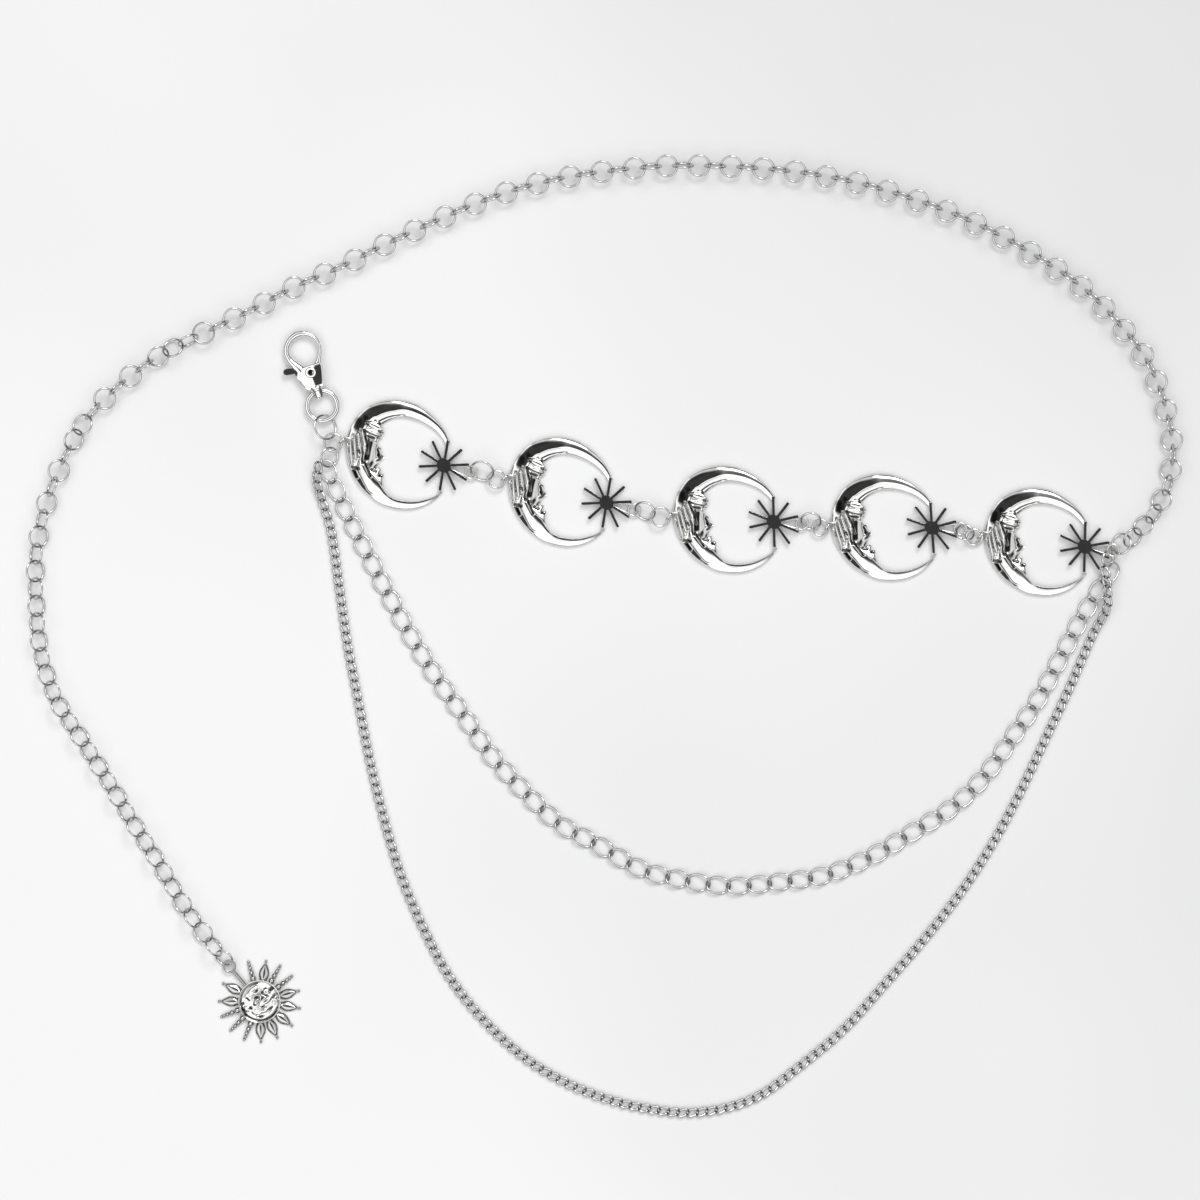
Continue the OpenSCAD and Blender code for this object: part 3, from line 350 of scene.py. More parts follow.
# Sun pendant, as in the part, save for one more leaf, at 154 degrees; SUN_RAYS: [bearing, whether a leaf]
SUN_AT = [-124.3, -131.5]
SUN_R = 7.85
SUN_RIM = 1.0
SUN_H = 2.4
SUN_FACE_H = 2.9
SUN_REACH = 15.1
SUN_RAYS = [
    [15, 1], [38, 0], [60, 0], [81, 1], [106, 0], [154, 1], [180, 1], [202, 0], [225, 0], [248, 0],
    [272, 1], [296, 1], [323, 1], [350, 1]]
SUN_EYE_BEARING = 130.6
SUN_EYE_REACH = 16.7
SUN_EYE_R = 2.1
SUN_EYE_WIRE = 0.8
SUN_EYE_Z = 1.7
# Half thickness of the stem that holds the eye, and of the one under the beads
EYE_STEM_HALF = 0.6
RAY_STEM_HALF = 0.38
# Where the rays start, the radius of the bead at a leaf's tip, and how far the leaf stops before the end
SUN_ROOT = SUN_R - 0.5
SUN_TIP_R = 0.5
SUN_TIP_LEN = 0.6
# Beads of a beaded ray: [share of the ray's length, radius]
SUN_BEADS = [[0.12, 1.15], [0.4, 0.95], [0.64, 0.8], [0.82, 0.65], [0.95, 0.55]]
# Leaf: half width, where along it its ends are blunt, height of its edges, rise of its ridge at either end,
# and its section as [share of the half width, share of the rise]
LEAF_HALF = 1.85
LEAF_BLUNT = [0.12, 0.97]
LEAF_EDGE_H = 0.5
LEAF_RISE = [0.9, 0.6]
LEAF_SECTION = [[-1, 0], [-0.6, 0.55], [0, 1], [0.6, 0.55], [1, 0]]
# Darkness of the rays: patina on their tops and painted shade at their feet, the height where their tops
# begin, and at the tips a darker tone
RAY_PATINA_AND_SHADE = [0.35, 0.8]
RAY_SHADE_TOP_H = 0.9
TIP_DARKNESS = 0.75
# Dome of the face: radius, height at its foot and in the middle, and the rings of its mesh
DOME_R = SUN_R - SUN_RIM - 0.3
DOME_FOOT = 1.35
DOME_H = SUN_FACE_H - 0.5
DOME_RINGS = 44
# Groove and rim round the dome, from the inside outwards: [radius, height]
SUN_RIM_ROWS = [
    [DOME_R + 0.15, 1.3], [DOME_R + 0.35, 1.5], [DOME_R + 0.55, 2], [DOME_R + 0.8, SUN_H - 0.02],
    [DOME_R + 1.05, SUN_H], [SUN_R - 0.06, 2.1], [SUN_R, 1.6], [SUN_R, REST]]
# Patina and painted shade in the groove: radius, bearing where the painted shade is strongest, least and most
# darkness and half width
GROOVE_R = DOME_R + 0.05
GROOVE_SHADE_BEARING = 235
GROOVE_PATINA_AND_SHADE = [0.35, 1]
GROOVE_HALF = [0.2, 0.42]
# Raised parts of the sun's face: [centre, half length, half width, turn, rise]
SUN_BUMPS = [
    [(-2.4, 4.3), 2.3, 1.1, 40, 0.55], [(2.6, 3.8), 1.3, 1.2, 0, 0.5], [(-1, 0.1), 1.6, 0.8, 60, 0.7],
    [(-4.6, 2.2), 1.2, 0.7, 55, 0.35], [(2.6, 0.4), 2.2, 0.9, 35, 0.4], [(4.2, -4), 2.4, 0.9, 45, 0.5],
    [(-4.6, -2.6), 1.2, 0.9, -30, 0.45], [(-1.2, -4), 1.6, 0.8, -20, 0.4],
    [(1.6, -3.4), 1.5, 0.6, 15, 0.4], [(5.6, 0.2), 1.2, 0.6, 70, 0.4]]
# Recesses of the sun's face, darkened by patina and painted shade: [centre, half length, half width, turn,
# depth]
SUN_CUTS = [
    [(-1.1, 3.8), 0.9, 0.34, 50, 0.5], [(1, 3.2), 0.8, 0.4, 110, 0.5], [(4.1, 4.4), 1, 0.6, 60, 0.6],
    [(2.4, 2.2), 1, 0.3, -20, 0.4], [(5.1, 2), 1.5, 0.36, 50, 0.5], [(-1, 1.5), 1.2, 0.5, 15, 0.6],
    [(-4.3, 0.9), 1, 0.3, -35, 0.5], [(-3.1, -2.3), 0.6, 0.5, 0, 0.6], [(-5.7, -3.1), 0.5, 0.4, 0, 0.5],
    [(-5.1, -4.8), 0.6, 0.4, -30, 0.5], [(-6.1, -0.9), 0.7, 0.4, 50, 0.6],
    [(3.9, -2.4), 1.3, 0.3, 35, 0.5], [(0.4, -5.4), 1.4, 0.4, 8, 0.4], [(6.1, 1.2), 0.4, 0.4, 0, 0.4],
    [(1.1, -1.8), 1, 0.26, 12, 0.4]]


def spin(degrees, axis):
    """Rotation matrices about X (0), Y (1) or Z (2), one for each angle."""
    a = np.radians(np.atleast_1d(degrees).astype(float))
    i, j = [(1, 2), (2, 0), (0, 1)][axis]
    m = np.zeros((len(a), 3, 3))
    m[:, axis, axis] = 1
    m[:, i, i] = m[:, j, j] = np.cos(a)
    m[:, i, j] = -np.sin(a)
    m[:, j, i] = np.sin(a)
    return m


def turned(point, degrees):
    """A point of the plane, or an array of them, turned about the origin."""
    a = np.radians(degrees)
    x, y = np.moveaxis(np.asarray(point, float), -1, 0)
    return np.stack([x * np.cos(a) - y * np.sin(a), x * np.sin(a) + y * np.cos(a)], -1)


def smoothed(route, steps):
    """Points of the curve through a route, after Catmull and Rom.

    Between b and c, with a before and d after: ½(2b + (c-a)t + (2a-5b+4c-d)t² + (3b-a-3c+d)t³).
    """
    route = np.asarray(route, float)
    p = np.vstack([2 * route[0] - route[1], route, 2 * route[-1] - route[-2]])
    a, b, c, d = p[:-3, None], p[1:-2, None], p[2:-1, None], p[3:, None]
    t = (np.arange(steps) / steps)[None, :, None]
    curve = 0.5 * (2 * b + (c - a) * t + (2 * a - 5 * b + 4 * c - d) * t**2
                   + (3 * b - a - 3 * c + d) * t**3)
    return np.vstack([curve.reshape(-1, route.shape[1]), route[-1]])


def distances(line):
    """Distance along a line of points, at each of them."""
    return np.concatenate([[0], np.cumsum(np.linalg.norm(np.diff(line, axis=0), axis=1))])


def along(line, run, d):
    """Points of a line at the distances d."""
    return np.stack([np.interp(d, run, line[:, k]) for k in range(line.shape[1])], -1)


def headings(line, run, d):
    """Which way a line goes at the distances d, in degrees."""
    v = along(line, run, d + HEADING_REACH) - along(line, run, d - HEADING_REACH)
    return np.degrees(np.arctan2(v[:, 1], v[:, 0]))


def flow(xs, ys, x):
    """Values at x of a smooth line through the knots (xs, ys), column by column, that never overshoots.

    Between two knots a distance h apart it is the cubic
    (2t³-3t²+1) y0 + (t³-2t²+t) h m0 + (3t²-2t³) y1 + (t³-t²) h m1,
    where a knot's slope m is the harmonic mean of the slopes beside it, or 0 if their signs differ.
    """
    h = np.diff(xs, axis=0)
    d = np.diff(ys, axis=0) / h
    both = d[:-1] * d[1:]
    total = np.where(both > 0, d[:-1] + d[1:], 1)
    m = np.vstack([d[:1], np.where(both > 0, 2 * both / total, 0), d[-1:]])
    k = np.clip((x[:, None] >= xs[None]).sum(1) - 1, 0, len(xs) - 2)
    col = np.arange(xs.shape[1])[None]
    t = np.clip((x - xs[k, col]) / h[k, col], 0, 1)
    return ((2 * t**3 - 3 * t**2 + 1) * ys[k, col] + (t**3 - 2 * t**2 + t) * h[k, col] * m[k, col]
            + (3 * t**2 - 2 * t**3) * ys[k + 1, col] + (t**3 - t**2) * h[k, col] * m[k + 1, col])


def band_faces(rings, sides, closed):
    """Quads between neighbouring rings of points; a closed band joins its last ring to its first."""
    i = np.arange(rings if closed else rings - 1)[:, None]
    k = np.arange(sides)[None]
    j = (i + 1) % rings
    m = (k + 1) % sides
    quads = np.stack([i * sides + k, i * sides + m, j * sides + m, j * sides + k], -1)
    return quads.reshape(-1, 4).tolist()


def solid_faces(rings, sides, flipped=False):
    """Quads between neighbouring rings of points, and a face over the first and over the last ring."""
    faces = band_faces(rings, sides, False)
    faces.append(list(range(sides))[::-1])
    faces.append([(rings - 1) * sides + k for k in range(sides)])
    return [face[::-1] for face in faces] if flipped else faces


def tube(centres, outs, ups, wide, high, sides, closed):
    """A tube round a line: centre + wide cos(q) out + high sin(q) up for q all round, and its faces."""
    q = np.linspace(0, 2 * np.pi, sides, endpoint=False)[None, :, None]
    wide = np.broadcast_to(wide, len(centres))[:, None, None]
    high = np.broadcast_to(high, len(centres))[:, None, None]
    points = centres[:, None] + wide * np.cos(q) * outs[:, None] + high * np.sin(q) * ups[:, None]
    faces = band_faces(len(centres), sides, True) if closed else solid_faces(len(centres), sides)
    return points.reshape(-1, 3), faces


def unit(vectors):
    """Vectors brought to length 1."""
    return vectors / np.linalg.norm(vectors, axis=1, keepdims=True)


def level_tube(line, way, wide, high, sides, closed):
    """A tube round a line that lies nearly flat and goes the given way at each of its points."""
    out = unit(np.cross(way, [0, 0, 1]))
    up = unit(np.cross(out, way))
    return tube(line, out, up, wide, high, sides, closed)


def flat_tube(line, wide, high, sides):
    """A tube round an open line that lies nearly flat; wide and high are half its width and height."""
    return level_tube(line, np.gradient(line, axis=0), wide, high, sides, False)


def ring(mid_r, wire, around, sides, cut=0):
    """A round ring of wire, lying flat; with a cut it is open by that many degrees, its ends capped."""
    count = around + 1 if cut else around
    a = np.radians(np.linspace(cut / 2, 360 - cut / 2, count, endpoint=bool(cut)))
    out = np.stack([np.cos(a), np.sin(a), 0 * a], -1)
    up = np.tile([0.0, 0, 1], (count, 1))
    return tube(out * mid_r, out, up, wire / 2, wire / 2, sides, not cut)


def oval(half_long, half_wide, twist, wire, around, sides):
    """A curb link: the oval (a cos t, b sin t, c sin 2t) in round wire."""
    t = np.linspace(0, 2 * np.pi, around, endpoint=False)
    line = np.stack([half_long * np.cos(t), half_wide * np.sin(t), twist * np.sin(2 * t)], -1)
    way = np.stack([-half_long * np.sin(t), half_wide * np.cos(t), 2 * twist * np.cos(2 * t)], -1)
    return level_tube(line, way, wire / 2, wire / 2, sides, True)


def lathe(profile, around, centre=(0, 0)):
    """A closed shape turned about Z from [radius, height] rows, outside first upwards, with end faces."""
    a = np.linspace(0, 2 * np.pi, around, endpoint=False)
    points = [[centre[0] + r * np.cos(t), centre[1] + r * np.sin(t), z] for r, z in profile for t in a]
    return np.array(points), solid_faces(len(profile), around)


def repeated(shape, turns, places):
    """Copies of one shape, each turned by its matrix and moved to its place, as one mesh."""
    points, faces = shape
    moved = np.einsum("nij,pj->npi", turns, points) + places[:, None]
    many = [[v + len(points) * n for v in face] for n in range(len(places)) for face in faces]
    return moved.reshape(-1, 3), many


def joined(*shapes):
    """Several shapes as one mesh."""
    points = []
    faces = []
    count = 0
    for p, f in shapes:
        points.append(np.asarray(p, float))
        faces += [[v + count for v in face] for face in f]
        count += len(p)
    return np.vstack(points), faces


def shifted(shape, place, turn=np.eye(3)):
    """One shape turned by a matrix and moved."""
    points, faces = shape
    return points @ turn.T + np.asarray(place, float), faces


def at_height(points, z):
    """Points of the plane, at one height."""
    return np.column_stack([points, np.full(len(points), z)])


def between(ends, share):
    """A value that lies a share of the way between two."""
    return ends[0] + (ends[1] - ends[0]) * share


def new_object(name, data):
    """An object of the scene that holds a mesh, a lamp or a camera."""
    thing = bpy.data.objects.new(name, data)
    bpy.context.scene.collection.objects.link(thing)
    return thing


def piece(name, shape, finish, body="root", replaces=(), patina_and_shade=None, crease=None):
    """Makes an object from points in millimetres and rides it on a body.

    finish is a material with its slot; the darkness gives each point how dark its patina and painted shade
    are, from 0 to 1; crease is the angle, in degrees, above which an edge is sharp.
    """
    points, faces = shape
    material, slot = finish
    mesh = bpy.data.meshes.new(name)
    mesh.from_pydata((np.asarray(points) * MM).tolist(), [], faces)
    if patina_and_shade is not None:
        layer = mesh.attributes.new("patina_shade_mask", "FLOAT", "POINT")
        layer.data.foreach_set("value", np.asarray(patina_and_shade, np.float32))
    mesh.shade_smooth()
    if crease:
        mesh.set_sharp_from_angle(angle=np.radians(crease))
    mesh.update()
    mesh.materials.append(material)
    thing = new_object(name, mesh)
    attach(thing, body)
    if replaces:
        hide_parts(*replaces)
    return thing


def bevelled(thing, width):
    """Rounds a piece's sharp edges by a Bevel modifier, width in millimetres."""
    bevel = thing.modifiers.new("Rounded edges", "BEVEL")
    bevel.width = width * MM
    bevel.segments = 2
    bevel.limit_method = "ANGLE"
    bevel.angle_limit = np.radians(BEVEL_ANGLE)
    bevel.harden_normals = True


def feed(tree, node, values):
    """Gives inputs of a node, by name or number, a plain value or the output that feeds them."""
    for key, value in values.items():
        if isinstance(value, bpy.types.NodeSocket):
            tree.links.new(value, node.inputs[key])
        else:
            node.inputs[key].default_value = value


def add_node(tree, kind, values, **settings):
    """A new shader node with its settings, its inputs fed with values."""
    node = tree.nodes.new(f"ShaderNode{kind}")
    for name, setting in settings.items():
        setattr(node, name, setting)
    feed(tree, node, values)
    return node


def mixed(tree, share, first, second):
    """A mix of two colours; the node's sockets are known by number only."""
    return add_node(tree, "Mix", {0: share, 6: first, 7: second}, data_type="RGBA").outputs[2]


def ramp(tree, value, stops):
    """A colour that runs with a value through stops of [position, colour]."""
    node = add_node(tree, "ValToRGB", {"Fac": value})
    elements = node.color_ramp.elements
    while len(elements) < len(stops):
        elements.new(0.5)
    for element, (position, colour) in zip(elements, stops):
        element.position = position
        element.color = colour
    return node.outputs["Color"]


def math_node(tree, operation, *values):
    """The result of a Math node."""
    return add_node(tree, "Math", dict(enumerate(values)), operation=operation).outputs[0]


def dot(tree, first, second):
    """The dot product of two vectors."""
    return add_node(tree, "VectorMath", {0: first, 1: second}, operation="DOT_PRODUCT").outputs["Value"]


def silver(name, tone, rough, grain, wave):
    """Bright silver plate: a metal whose tone, gloss and surface vary with fine noise.

    tone and rough are [low, high]; grain is the noise's scale per metre and wave the bump's height in metres.
    """
    material = bpy.data.materials.new(name)
    material.use_nodes = True
    tree = material.node_tree
    place = add_node(tree, "TexCoord", {}).outputs["Object"]
    cloud = add_node(tree, "TexNoise", {"Vector": place, "Scale": grain, "Detail": 4}).outputs["Fac"]
    colour = ramp(tree, cloud, [[position, (level, level, level * SILVER_BLUE, 1)]
                                for position, level in zip(CLOUD_RANGE, tone)])
    patina_shade_mask = add_node(tree, "Attribute", {}, attribute_name="patina_shade_mask").outputs["Fac"]
    gloss = add_node(tree, "MapRange", {"Value": cloud, "From Min": CLOUD_RANGE[0],
                                        "From Max": CLOUD_RANGE[1], "To Min": rough[0], "To Max": rough[1]})
    ripple = add_node(tree, "TexNoise", {"Vector": place, "Scale": grain * RIPPLE_SCALE, "Detail": 2})
    bump = add_node(tree, "Bump", {"Height": ripple.outputs["Fac"], "Distance": wave, "Strength": 1})
    # The base colour runs to the dark colour with each point's patina and painted shade
    feed(tree, tree.nodes["Principled BSDF"],
         {"Metallic": 1, "Base Color": mixed(tree, patina_shade_mask, colour, PATINA_AND_SHADE_COLOUR),
          "Roughness": gloss.outputs["Result"], "Normal": bump.outputs["Normal"]})
    return material


# Each silver with its slot
CAST = (silver("Cast silver", [0.64, 0.72], [0.04, 0.08], 500, 0.000003), "cast_silver")
WIRE = (silver("Wire silver", [0.56, 0.66], [0.04, 0.08], 800, 0.000002), "wire_silver")
CHAIN = (silver("Chain silver", [0.54, 0.62], [0.04, 0.09], 900, 0.000002), "chain_silver")
CLASP = (silver("Clasp silver", [0.74, 0.82], [0.04, 0.09], 500, 0.000003), "clasp_silver")


def make_floor():
    """A pale matt table top with broad patches of painted shade, and painted shade that makes it a little
    darker towards the upper right.

    Its tint runs with the dot product of the place and the painted shade's slant, plus noise.
    """
    mesh = bpy.data.meshes.new("Table")
    corners = [(TABLE_HALF * x, TABLE_HALF * y, 0) for x, y in ((-1, -1), (1, -1), (1, 1), (-1, 1))]
    mesh.from_pydata(corners, [], [(0, 1, 2, 3)])
    table = new_object("Table", mesh)
    material = bpy.data.materials.new("Pale table")
    material.use_nodes = True
    tree = material.node_tree
    place = add_node(tree, "TexCoord", {}).outputs["Object"]
    # Painted shade: broad noise patches, and a slant that darkens the table towards the upper right
    cloud = add_node(tree, "TexNoise", {"Vector": place, "Scale": TABLE_SHADE_NOISE}).outputs["Fac"]
    level = math_node(tree, "ADD", dot(tree, place, TABLE_SHADE_SLANT), cloud)
    feed(tree, tree.nodes["Principled BSDF"],
         {"Specular IOR Level": TABLE_SHINE, "Roughness": TABLE_ROUGH,
          "Base Color": ramp(tree, level, TABLE_TINTS)})
    mesh.materials.append(material)


def make_studio():
    """White light from all round, with a dark hood overhead, and a soft lamp at the upper right."""
    world = bpy.data.worlds.new("Studio")
    world.use_nodes = True
    tree = world.node_tree
    place = add_node(tree, "TexCoord", {}).outputs["Generated"]
    up = add_node(tree, "SeparateXYZ", {"Vector": place}).outputs["Z"]
    share = math_node(tree, "DIVIDE", math_node(tree, "ARCCOSINE", up), np.pi)
    light = ramp(tree, share, [[degrees / 180, (glow, glow, glow, 1)] for degrees, glow in STUDIO])
    seen = add_node(tree, "LightPath", {}).outputs["Is Camera Ray"]
    level = math_node(tree, "MULTIPLY_ADD", dot(tree, place, SHADE_SIDE), -SHADE_DEPTH, 1)
    feed(tree, tree.nodes["Background"],
         {"Color": mixed(tree, seen, light, (BACKDROP, BACKDROP, BACKDROP, 1)), "Strength": level})
    bpy.context.scene.world = world
    lamp = bpy.data.lights.new("Soft lamp", "SUN")
    lamp.energy = LAMP_ENERGY
    lamp.angle = np.radians(LAMP_ANGLE)
    new_object("Soft lamp", lamp).rotation_euler = np.radians(LAMP_TURN)
    bpy.context.scene.view_settings.view_transform = "Standard"


def make_camera():
    """Looks straight down, from far enough that nothing leans."""
    camera = bpy.data.cameras.new("Camera")
    camera.sensor_width = SENSOR
    camera.lens = SENSOR * CAMERA_HEIGHT / VIEW_WIDTH
    camera.clip_end = CAMERA_SIGHT
    holder = new_object("Camera", camera)
    holder.location = (VIEW_CENTRE[0] * MM, VIEW_CENTRE[1] * MM, CAMERA_HEIGHT * MM)
    bpy.context.scene.camera = holder


def place_links(route, d, roll, height):
    """Turns and places of links at the distances d along a route."""
    line = smoothed(route, ROUTE_STEPS)
    run = distances(line)
    turns = spin(headings(line, run, d), 2) @ spin(roll, 0)
    return turns, np.column_stack([along(line, run, d), height])


def lay_chain(name, node, link, turns, places, reach, end_shade):
    """A chain of one link's copies, with painted shade of up to the given darkness at each link's ends, which
    reach that far.
    """
    # Painted shade at each link's ends, where the links cross
    ends = np.clip((np.abs(link[0][:, 0]) / reach - END_SHADE_FROM) / END_SHADE_SPAN, 0, 1)
    piece(name, repeated(link, turns, places), CHAIN, replaces=[node],
          patina_and_shade=np.tile(end_shade * ends, len(places)))


def long_chain():
    """Round rings along the route, each rolled a quarter turn from the last."""
    i = np.arange(ROLO_COUNT)

    def by_number(rows, n):
        return np.interp(n, *np.transpose(rows))

    d = ROLO_START + ROLO_PITCH * i + ROLO_GROWTH / 2 * i**2 + by_number(ROLO_SLACK, i)
    roll = by_number(ROLO_ROLL, i) + 90 * (i % 2)
    lift = ROLO_R * np.abs(np.sin(np.radians(roll))) + ROLO_WIRE / 2 + REST
    before = lift[np.maximum(i - 1, 0)]
    after = lift[np.minimum(i + 1, ROLO_COUNT - 1)]
    height = np.maximum(lift, np.maximum(before, after) - by_number(ROLO_SAG, i))
    turns, places = place_links(LONG_ROUTE, d, roll, height)
    link = ring(ROLO_R, ROLO_WIRE, around=28, sides=7)
    lay_chain("long_ring_chain", "long_chain", link, turns, places, ROLO_R, ROLO_END_SHADE)


def curb_chain():
    """Twisted oval links that lie flat, the last few at either end rolled and lifted towards their ring."""
    i = np.arange(CURB_COUNT)
    first = np.maximum(0, 1 - i / CURB_END_LINKS)
    last = first[::-1]
    d = distances(smoothed(CURB_ROUTE, ROUTE_STEPS))[-1] * i / (CURB_COUNT - 1)
    roll = CURB_END_ROLL[0] * first + CURB_END_ROLL[1] * last
    height = CURB_TWIST + CURB_WIRE / 2 + REST + CURB_END_LIFT * (first + last)
    turns, places = place_links(CURB_ROUTE, d, roll, height)
    link = oval(CURB_A, CURB_B, CURB_TWIST, CURB_WIRE, around=24, sides=7)
    lay_chain("curb_link_chain", "curb_chain", link, turns, places, CURB_A, CURB_END_SHADE)


def thin_chain():
    """Small twisted ovals, slanted to a route that climbs over the curb chain at its ends."""
    line = smoothed(THIN_ROUTE, THIN_STEPS)
    run = distances(line)
    count = int(run[-1] // THIN_PITCH)
    d = np.linspace(THIN_INSET, run[-1] - THIN_INSET, count)
    v = along(line, run, d + HEADING_REACH / 2) - along(line, run, d - HEADING_REACH / 2)
    heading = np.degrees(np.arctan2(v[:, 1], v[:, 0]))
    climb = np.degrees(np.arctan2(v[:, 2], np.hypot(v[:, 0], v[:, 1])))
    turns = spin(heading, 2) @ spin(-climb, 1) @ spin(THIN_SLANT, 2)
    link = oval(THIN_A, THIN_B, THIN_TWIST, THIN_WIRE, around=16, sides=6)
    lay_chain("thin_link_chain", "thin_chain", link, turns, along(line, run, d), THIN_A, THIN_END_SHADE)


def charm_places():
    """Centre of each charm, and the place of its loop and eye; each loop is a step on from the last eye."""
    loop_reach = MOON_R * (1 + MOON_STRETCH * np.cos(np.radians(2 * (LOOP_ANGLE - MOON_AXIS)))) + LOOP_OUT
    loop_at = turned([loop_reach, 0], LOOP_ANGLE)
    eye_at = STAR_AT + turned([EYE_REACH, 0], EYE_ANGLE)
    centres = []
    loops = [np.array(FIRST_LOOP)]
    eyes = []
    for k, turn in enumerate(CHARM_TURN):
        centres.append(loops[-1] - turned(loop_at, turn))
        eyes.append(centres[-1] + turned(eye_at, turn))
        if k < len(JOIN_STEP):
            loops.append(eyes[-1] + JOIN_STEP[k])
    return centres, loops, eyes, loop_at, eye_at


CHARMS, LOOPS, EYES, LOOP_AT, EYE_AT = charm_places()


def jump_rings():
    """Every jump ring: round wire with a fine cut, rolled and pitched as in the part."""
    rows = {"clasp_ring": (LOOPS[0], CLASP_RING), "charm_ring": (LOOPS[0], CHARM_RING),
            "swag_ring": (LOOPS[0], SWAG_RING), "end_ring": (EYES[-1], END_RING),
            "drop_ring": (EYES[-1], DROP_RING), "sun_ring": (np.zeros(2), SUN_RING)}
    for k in range(len(JOIN_STEP)):
        rows[f"join_ring_{k + 1}a"] = (EYES[k], EYE_RING[k])
        rows[f"join_ring_{k + 1}b"] = (LOOPS[k + 1], LOOP_RING[k])
    for number, (node, (start, row)) in enumerate(rows.items()):
        x, y, z, mid_r, roll, pitch = row
        shape = ring(mid_r, RING_WIRE, around=56, sides=12, cut=RING_CUT)
        turn = (spin(pitch, 1) @ spin(roll, 0) @ spin(CUT_START + CUT_STEP * number, 2))[0]
        shape = shifted(shape, [start[0] + x, start[1] + y, z], turn)
        piece(f"wire_{node}", shape, WIRE, replaces=[node])


def ridge(x, y, start, end, half):
    """How high a long rounded ridge stands at each point, from 0 outside it to 1 on its crest.

    With t along the ridge from 0 to 1 and d the distance from its line, it is 1 - (d / w)², where the half
    width w swells from its ends as half · √(sin πt).
    """
    a = np.array(start, float)
    v = np.array(end, float) - a
    length = np.linalg.norm(v)
    u = v / length
    t = ((x - a[0]) * u[0] + (y - a[1]) * u[1]) / length
    d = np.abs((y - a[1]) * u[0] - (x - a[0]) * u[1])
    w = half * np.sqrt(np.sin(np.pi * np.clip(t, 0.001, 0.999)))
    inside = (t > 0) & (t < 1)
    return np.where(inside, np.clip(1 - (d / w) ** 2, 0, 1), 0)


def blob(x, y, centre, half_long, half_wide, turn):
    """How strong a soft spot is at each point: exp(-(u² + v²)²), with u and v along and across it."""
    near = turned(np.stack([x - centre[0], y - centre[1]], -1), -turn)
    reach = (near[..., 0] / half_long) ** 2 + (near[..., 1] / half_wide) ** 2
    return np.exp(-reach**2)


def moon_columns(angles):
    """Distances in pixels and heights of the crescent's points, a column for each angle, and of its edges."""
    inner_rows = np.array(MOON_INNER)
    inner = np.interp(angles, inner_rows[:, 0], inner_rows[:, 1])
    outer = MOON_R / PIXEL * (1 + MOON_STRETCH * np.cos(np.radians(2 * (angles - MOON_AXIS))))
    rows = np.array(MOON_ROWS)
    stations = np.broadcast_to(rows[:, :1], rows[:, 1:].shape)
    knots = flow(stations, rows[:, 1:], np.broadcast_to(angles[:, None], (len(angles), rows.shape[1] - 1)))
    reach = np.column_stack([outer, knots[:, 0:-1:2], inner]).T[::-1]
    heights = np.column_stack([np.full(len(angles), MOON_EDGE_H), knots[:, 1:-1:2], knots[:, -1]]).T[::-1]
    reach = np.maximum.accumulate(reach + KNOT_GAP * np.arange(len(reach))[:, None], axis=0)
    shares = [(k, s / n) for k, n in enumerate(MOON_STEPS) for s in range(n)] + [(len(MOON_STEPS) - 1, 1)]
    low = np.array([k for k, _ in shares])
    share = np.array([s for _, s in shares])[:, None]
    r = reach[low] * (1 - share) + reach[low + 1] * share
    return r, flow(reach, heights, r), inner, outer


def moon_relief():
    """The crescent with its face in profile, hair and collar, as a closed mesh with its recesses, and the
    patina and painted shade of each point.

    Each column runs across the crescent at one angle. Its knots flow smoothly from each row of MOON_ROWS to
    the next, its points share out the stretches between them, and its height flows through them. Locks stand
    on that as rounded ridges, and recesses go down into it.
    """
    angles = np.concatenate([np.arange(MOON_SPAN[0], FACE_SPAN[0], COARSE_STEP),
                             np.arange(*FACE_SPAN, FINE_STEP),
                             np.arange(FACE_SPAN[1], MOON_SPAN[1], COARSE_STEP), MOON_SPAN[1:]])
    r, z, inner, outer = moon_columns(angles)
    x = r * np.cos(np.radians(angles))
    y = r * np.sin(np.radians(angles))
    inside = np.clip((r - inner) / RELIEF_EDGE, 0, 1) * np.clip((outer - r) / RELIEF_EDGE, 0, 1)
    locks = np.zeros_like(z)
    for start, end, half, rise in LOCKS:
        locks = np.maximum(locks, rise * ridge(x, y, start, end, half))
    z = z + locks * inside
    patina_and_shade = np.zeros_like(z)
    # Patina and painted shade in the recesses; marks of little or no depth are painted shade alone
    for start, end, half, depth, patina_shade in RECESSES_AND_SHADE_MARKS:
        spot = np.exp(-segment_distance(x, y, start, end) ** 4 / half**4)
        z = z - depth * spot * inside
        patina_and_shade = np.maximum(patina_and_shade, patina_shade * spot)
    z = np.maximum(z, MOON_LEAST_H)
    top = np.stack([x * PIXEL, y * PIXEL, z], -1)
    foot_in = np.stack([x[0] * PIXEL, y[0] * PIXEL, 0 * z[0] + REST], -1)
    foot_out = np.stack([x[-1] * PIXEL, y[-1] * PIXEL, 0 * z[0] + REST], -1)
    columns = np.concatenate([foot_in[None], top, foot_out[None]]).transpose(1, 0, 2)
    shade = np.concatenate([0 * patina_and_shade[:1], patina_and_shade, 0 * patina_and_shade[:1]]).T
    faces = solid_faces(len(angles), len(r) + 2, flipped=True)
    return (columns.reshape(-1, 3), faces), shade.reshape(-1)


def segment_distance(x, y, start, end):
    """Distance of each point from a straight stretch."""
    a = np.array(start, float)
    v = np.array(end, float) - a
    t = np.clip(((x - a[0]) * v[0] + (y - a[1]) * v[1]) / (v @ v), 0, 1)
    return np.hypot(x - a[0] - t * v[0], y - a[1] - t * v[1])


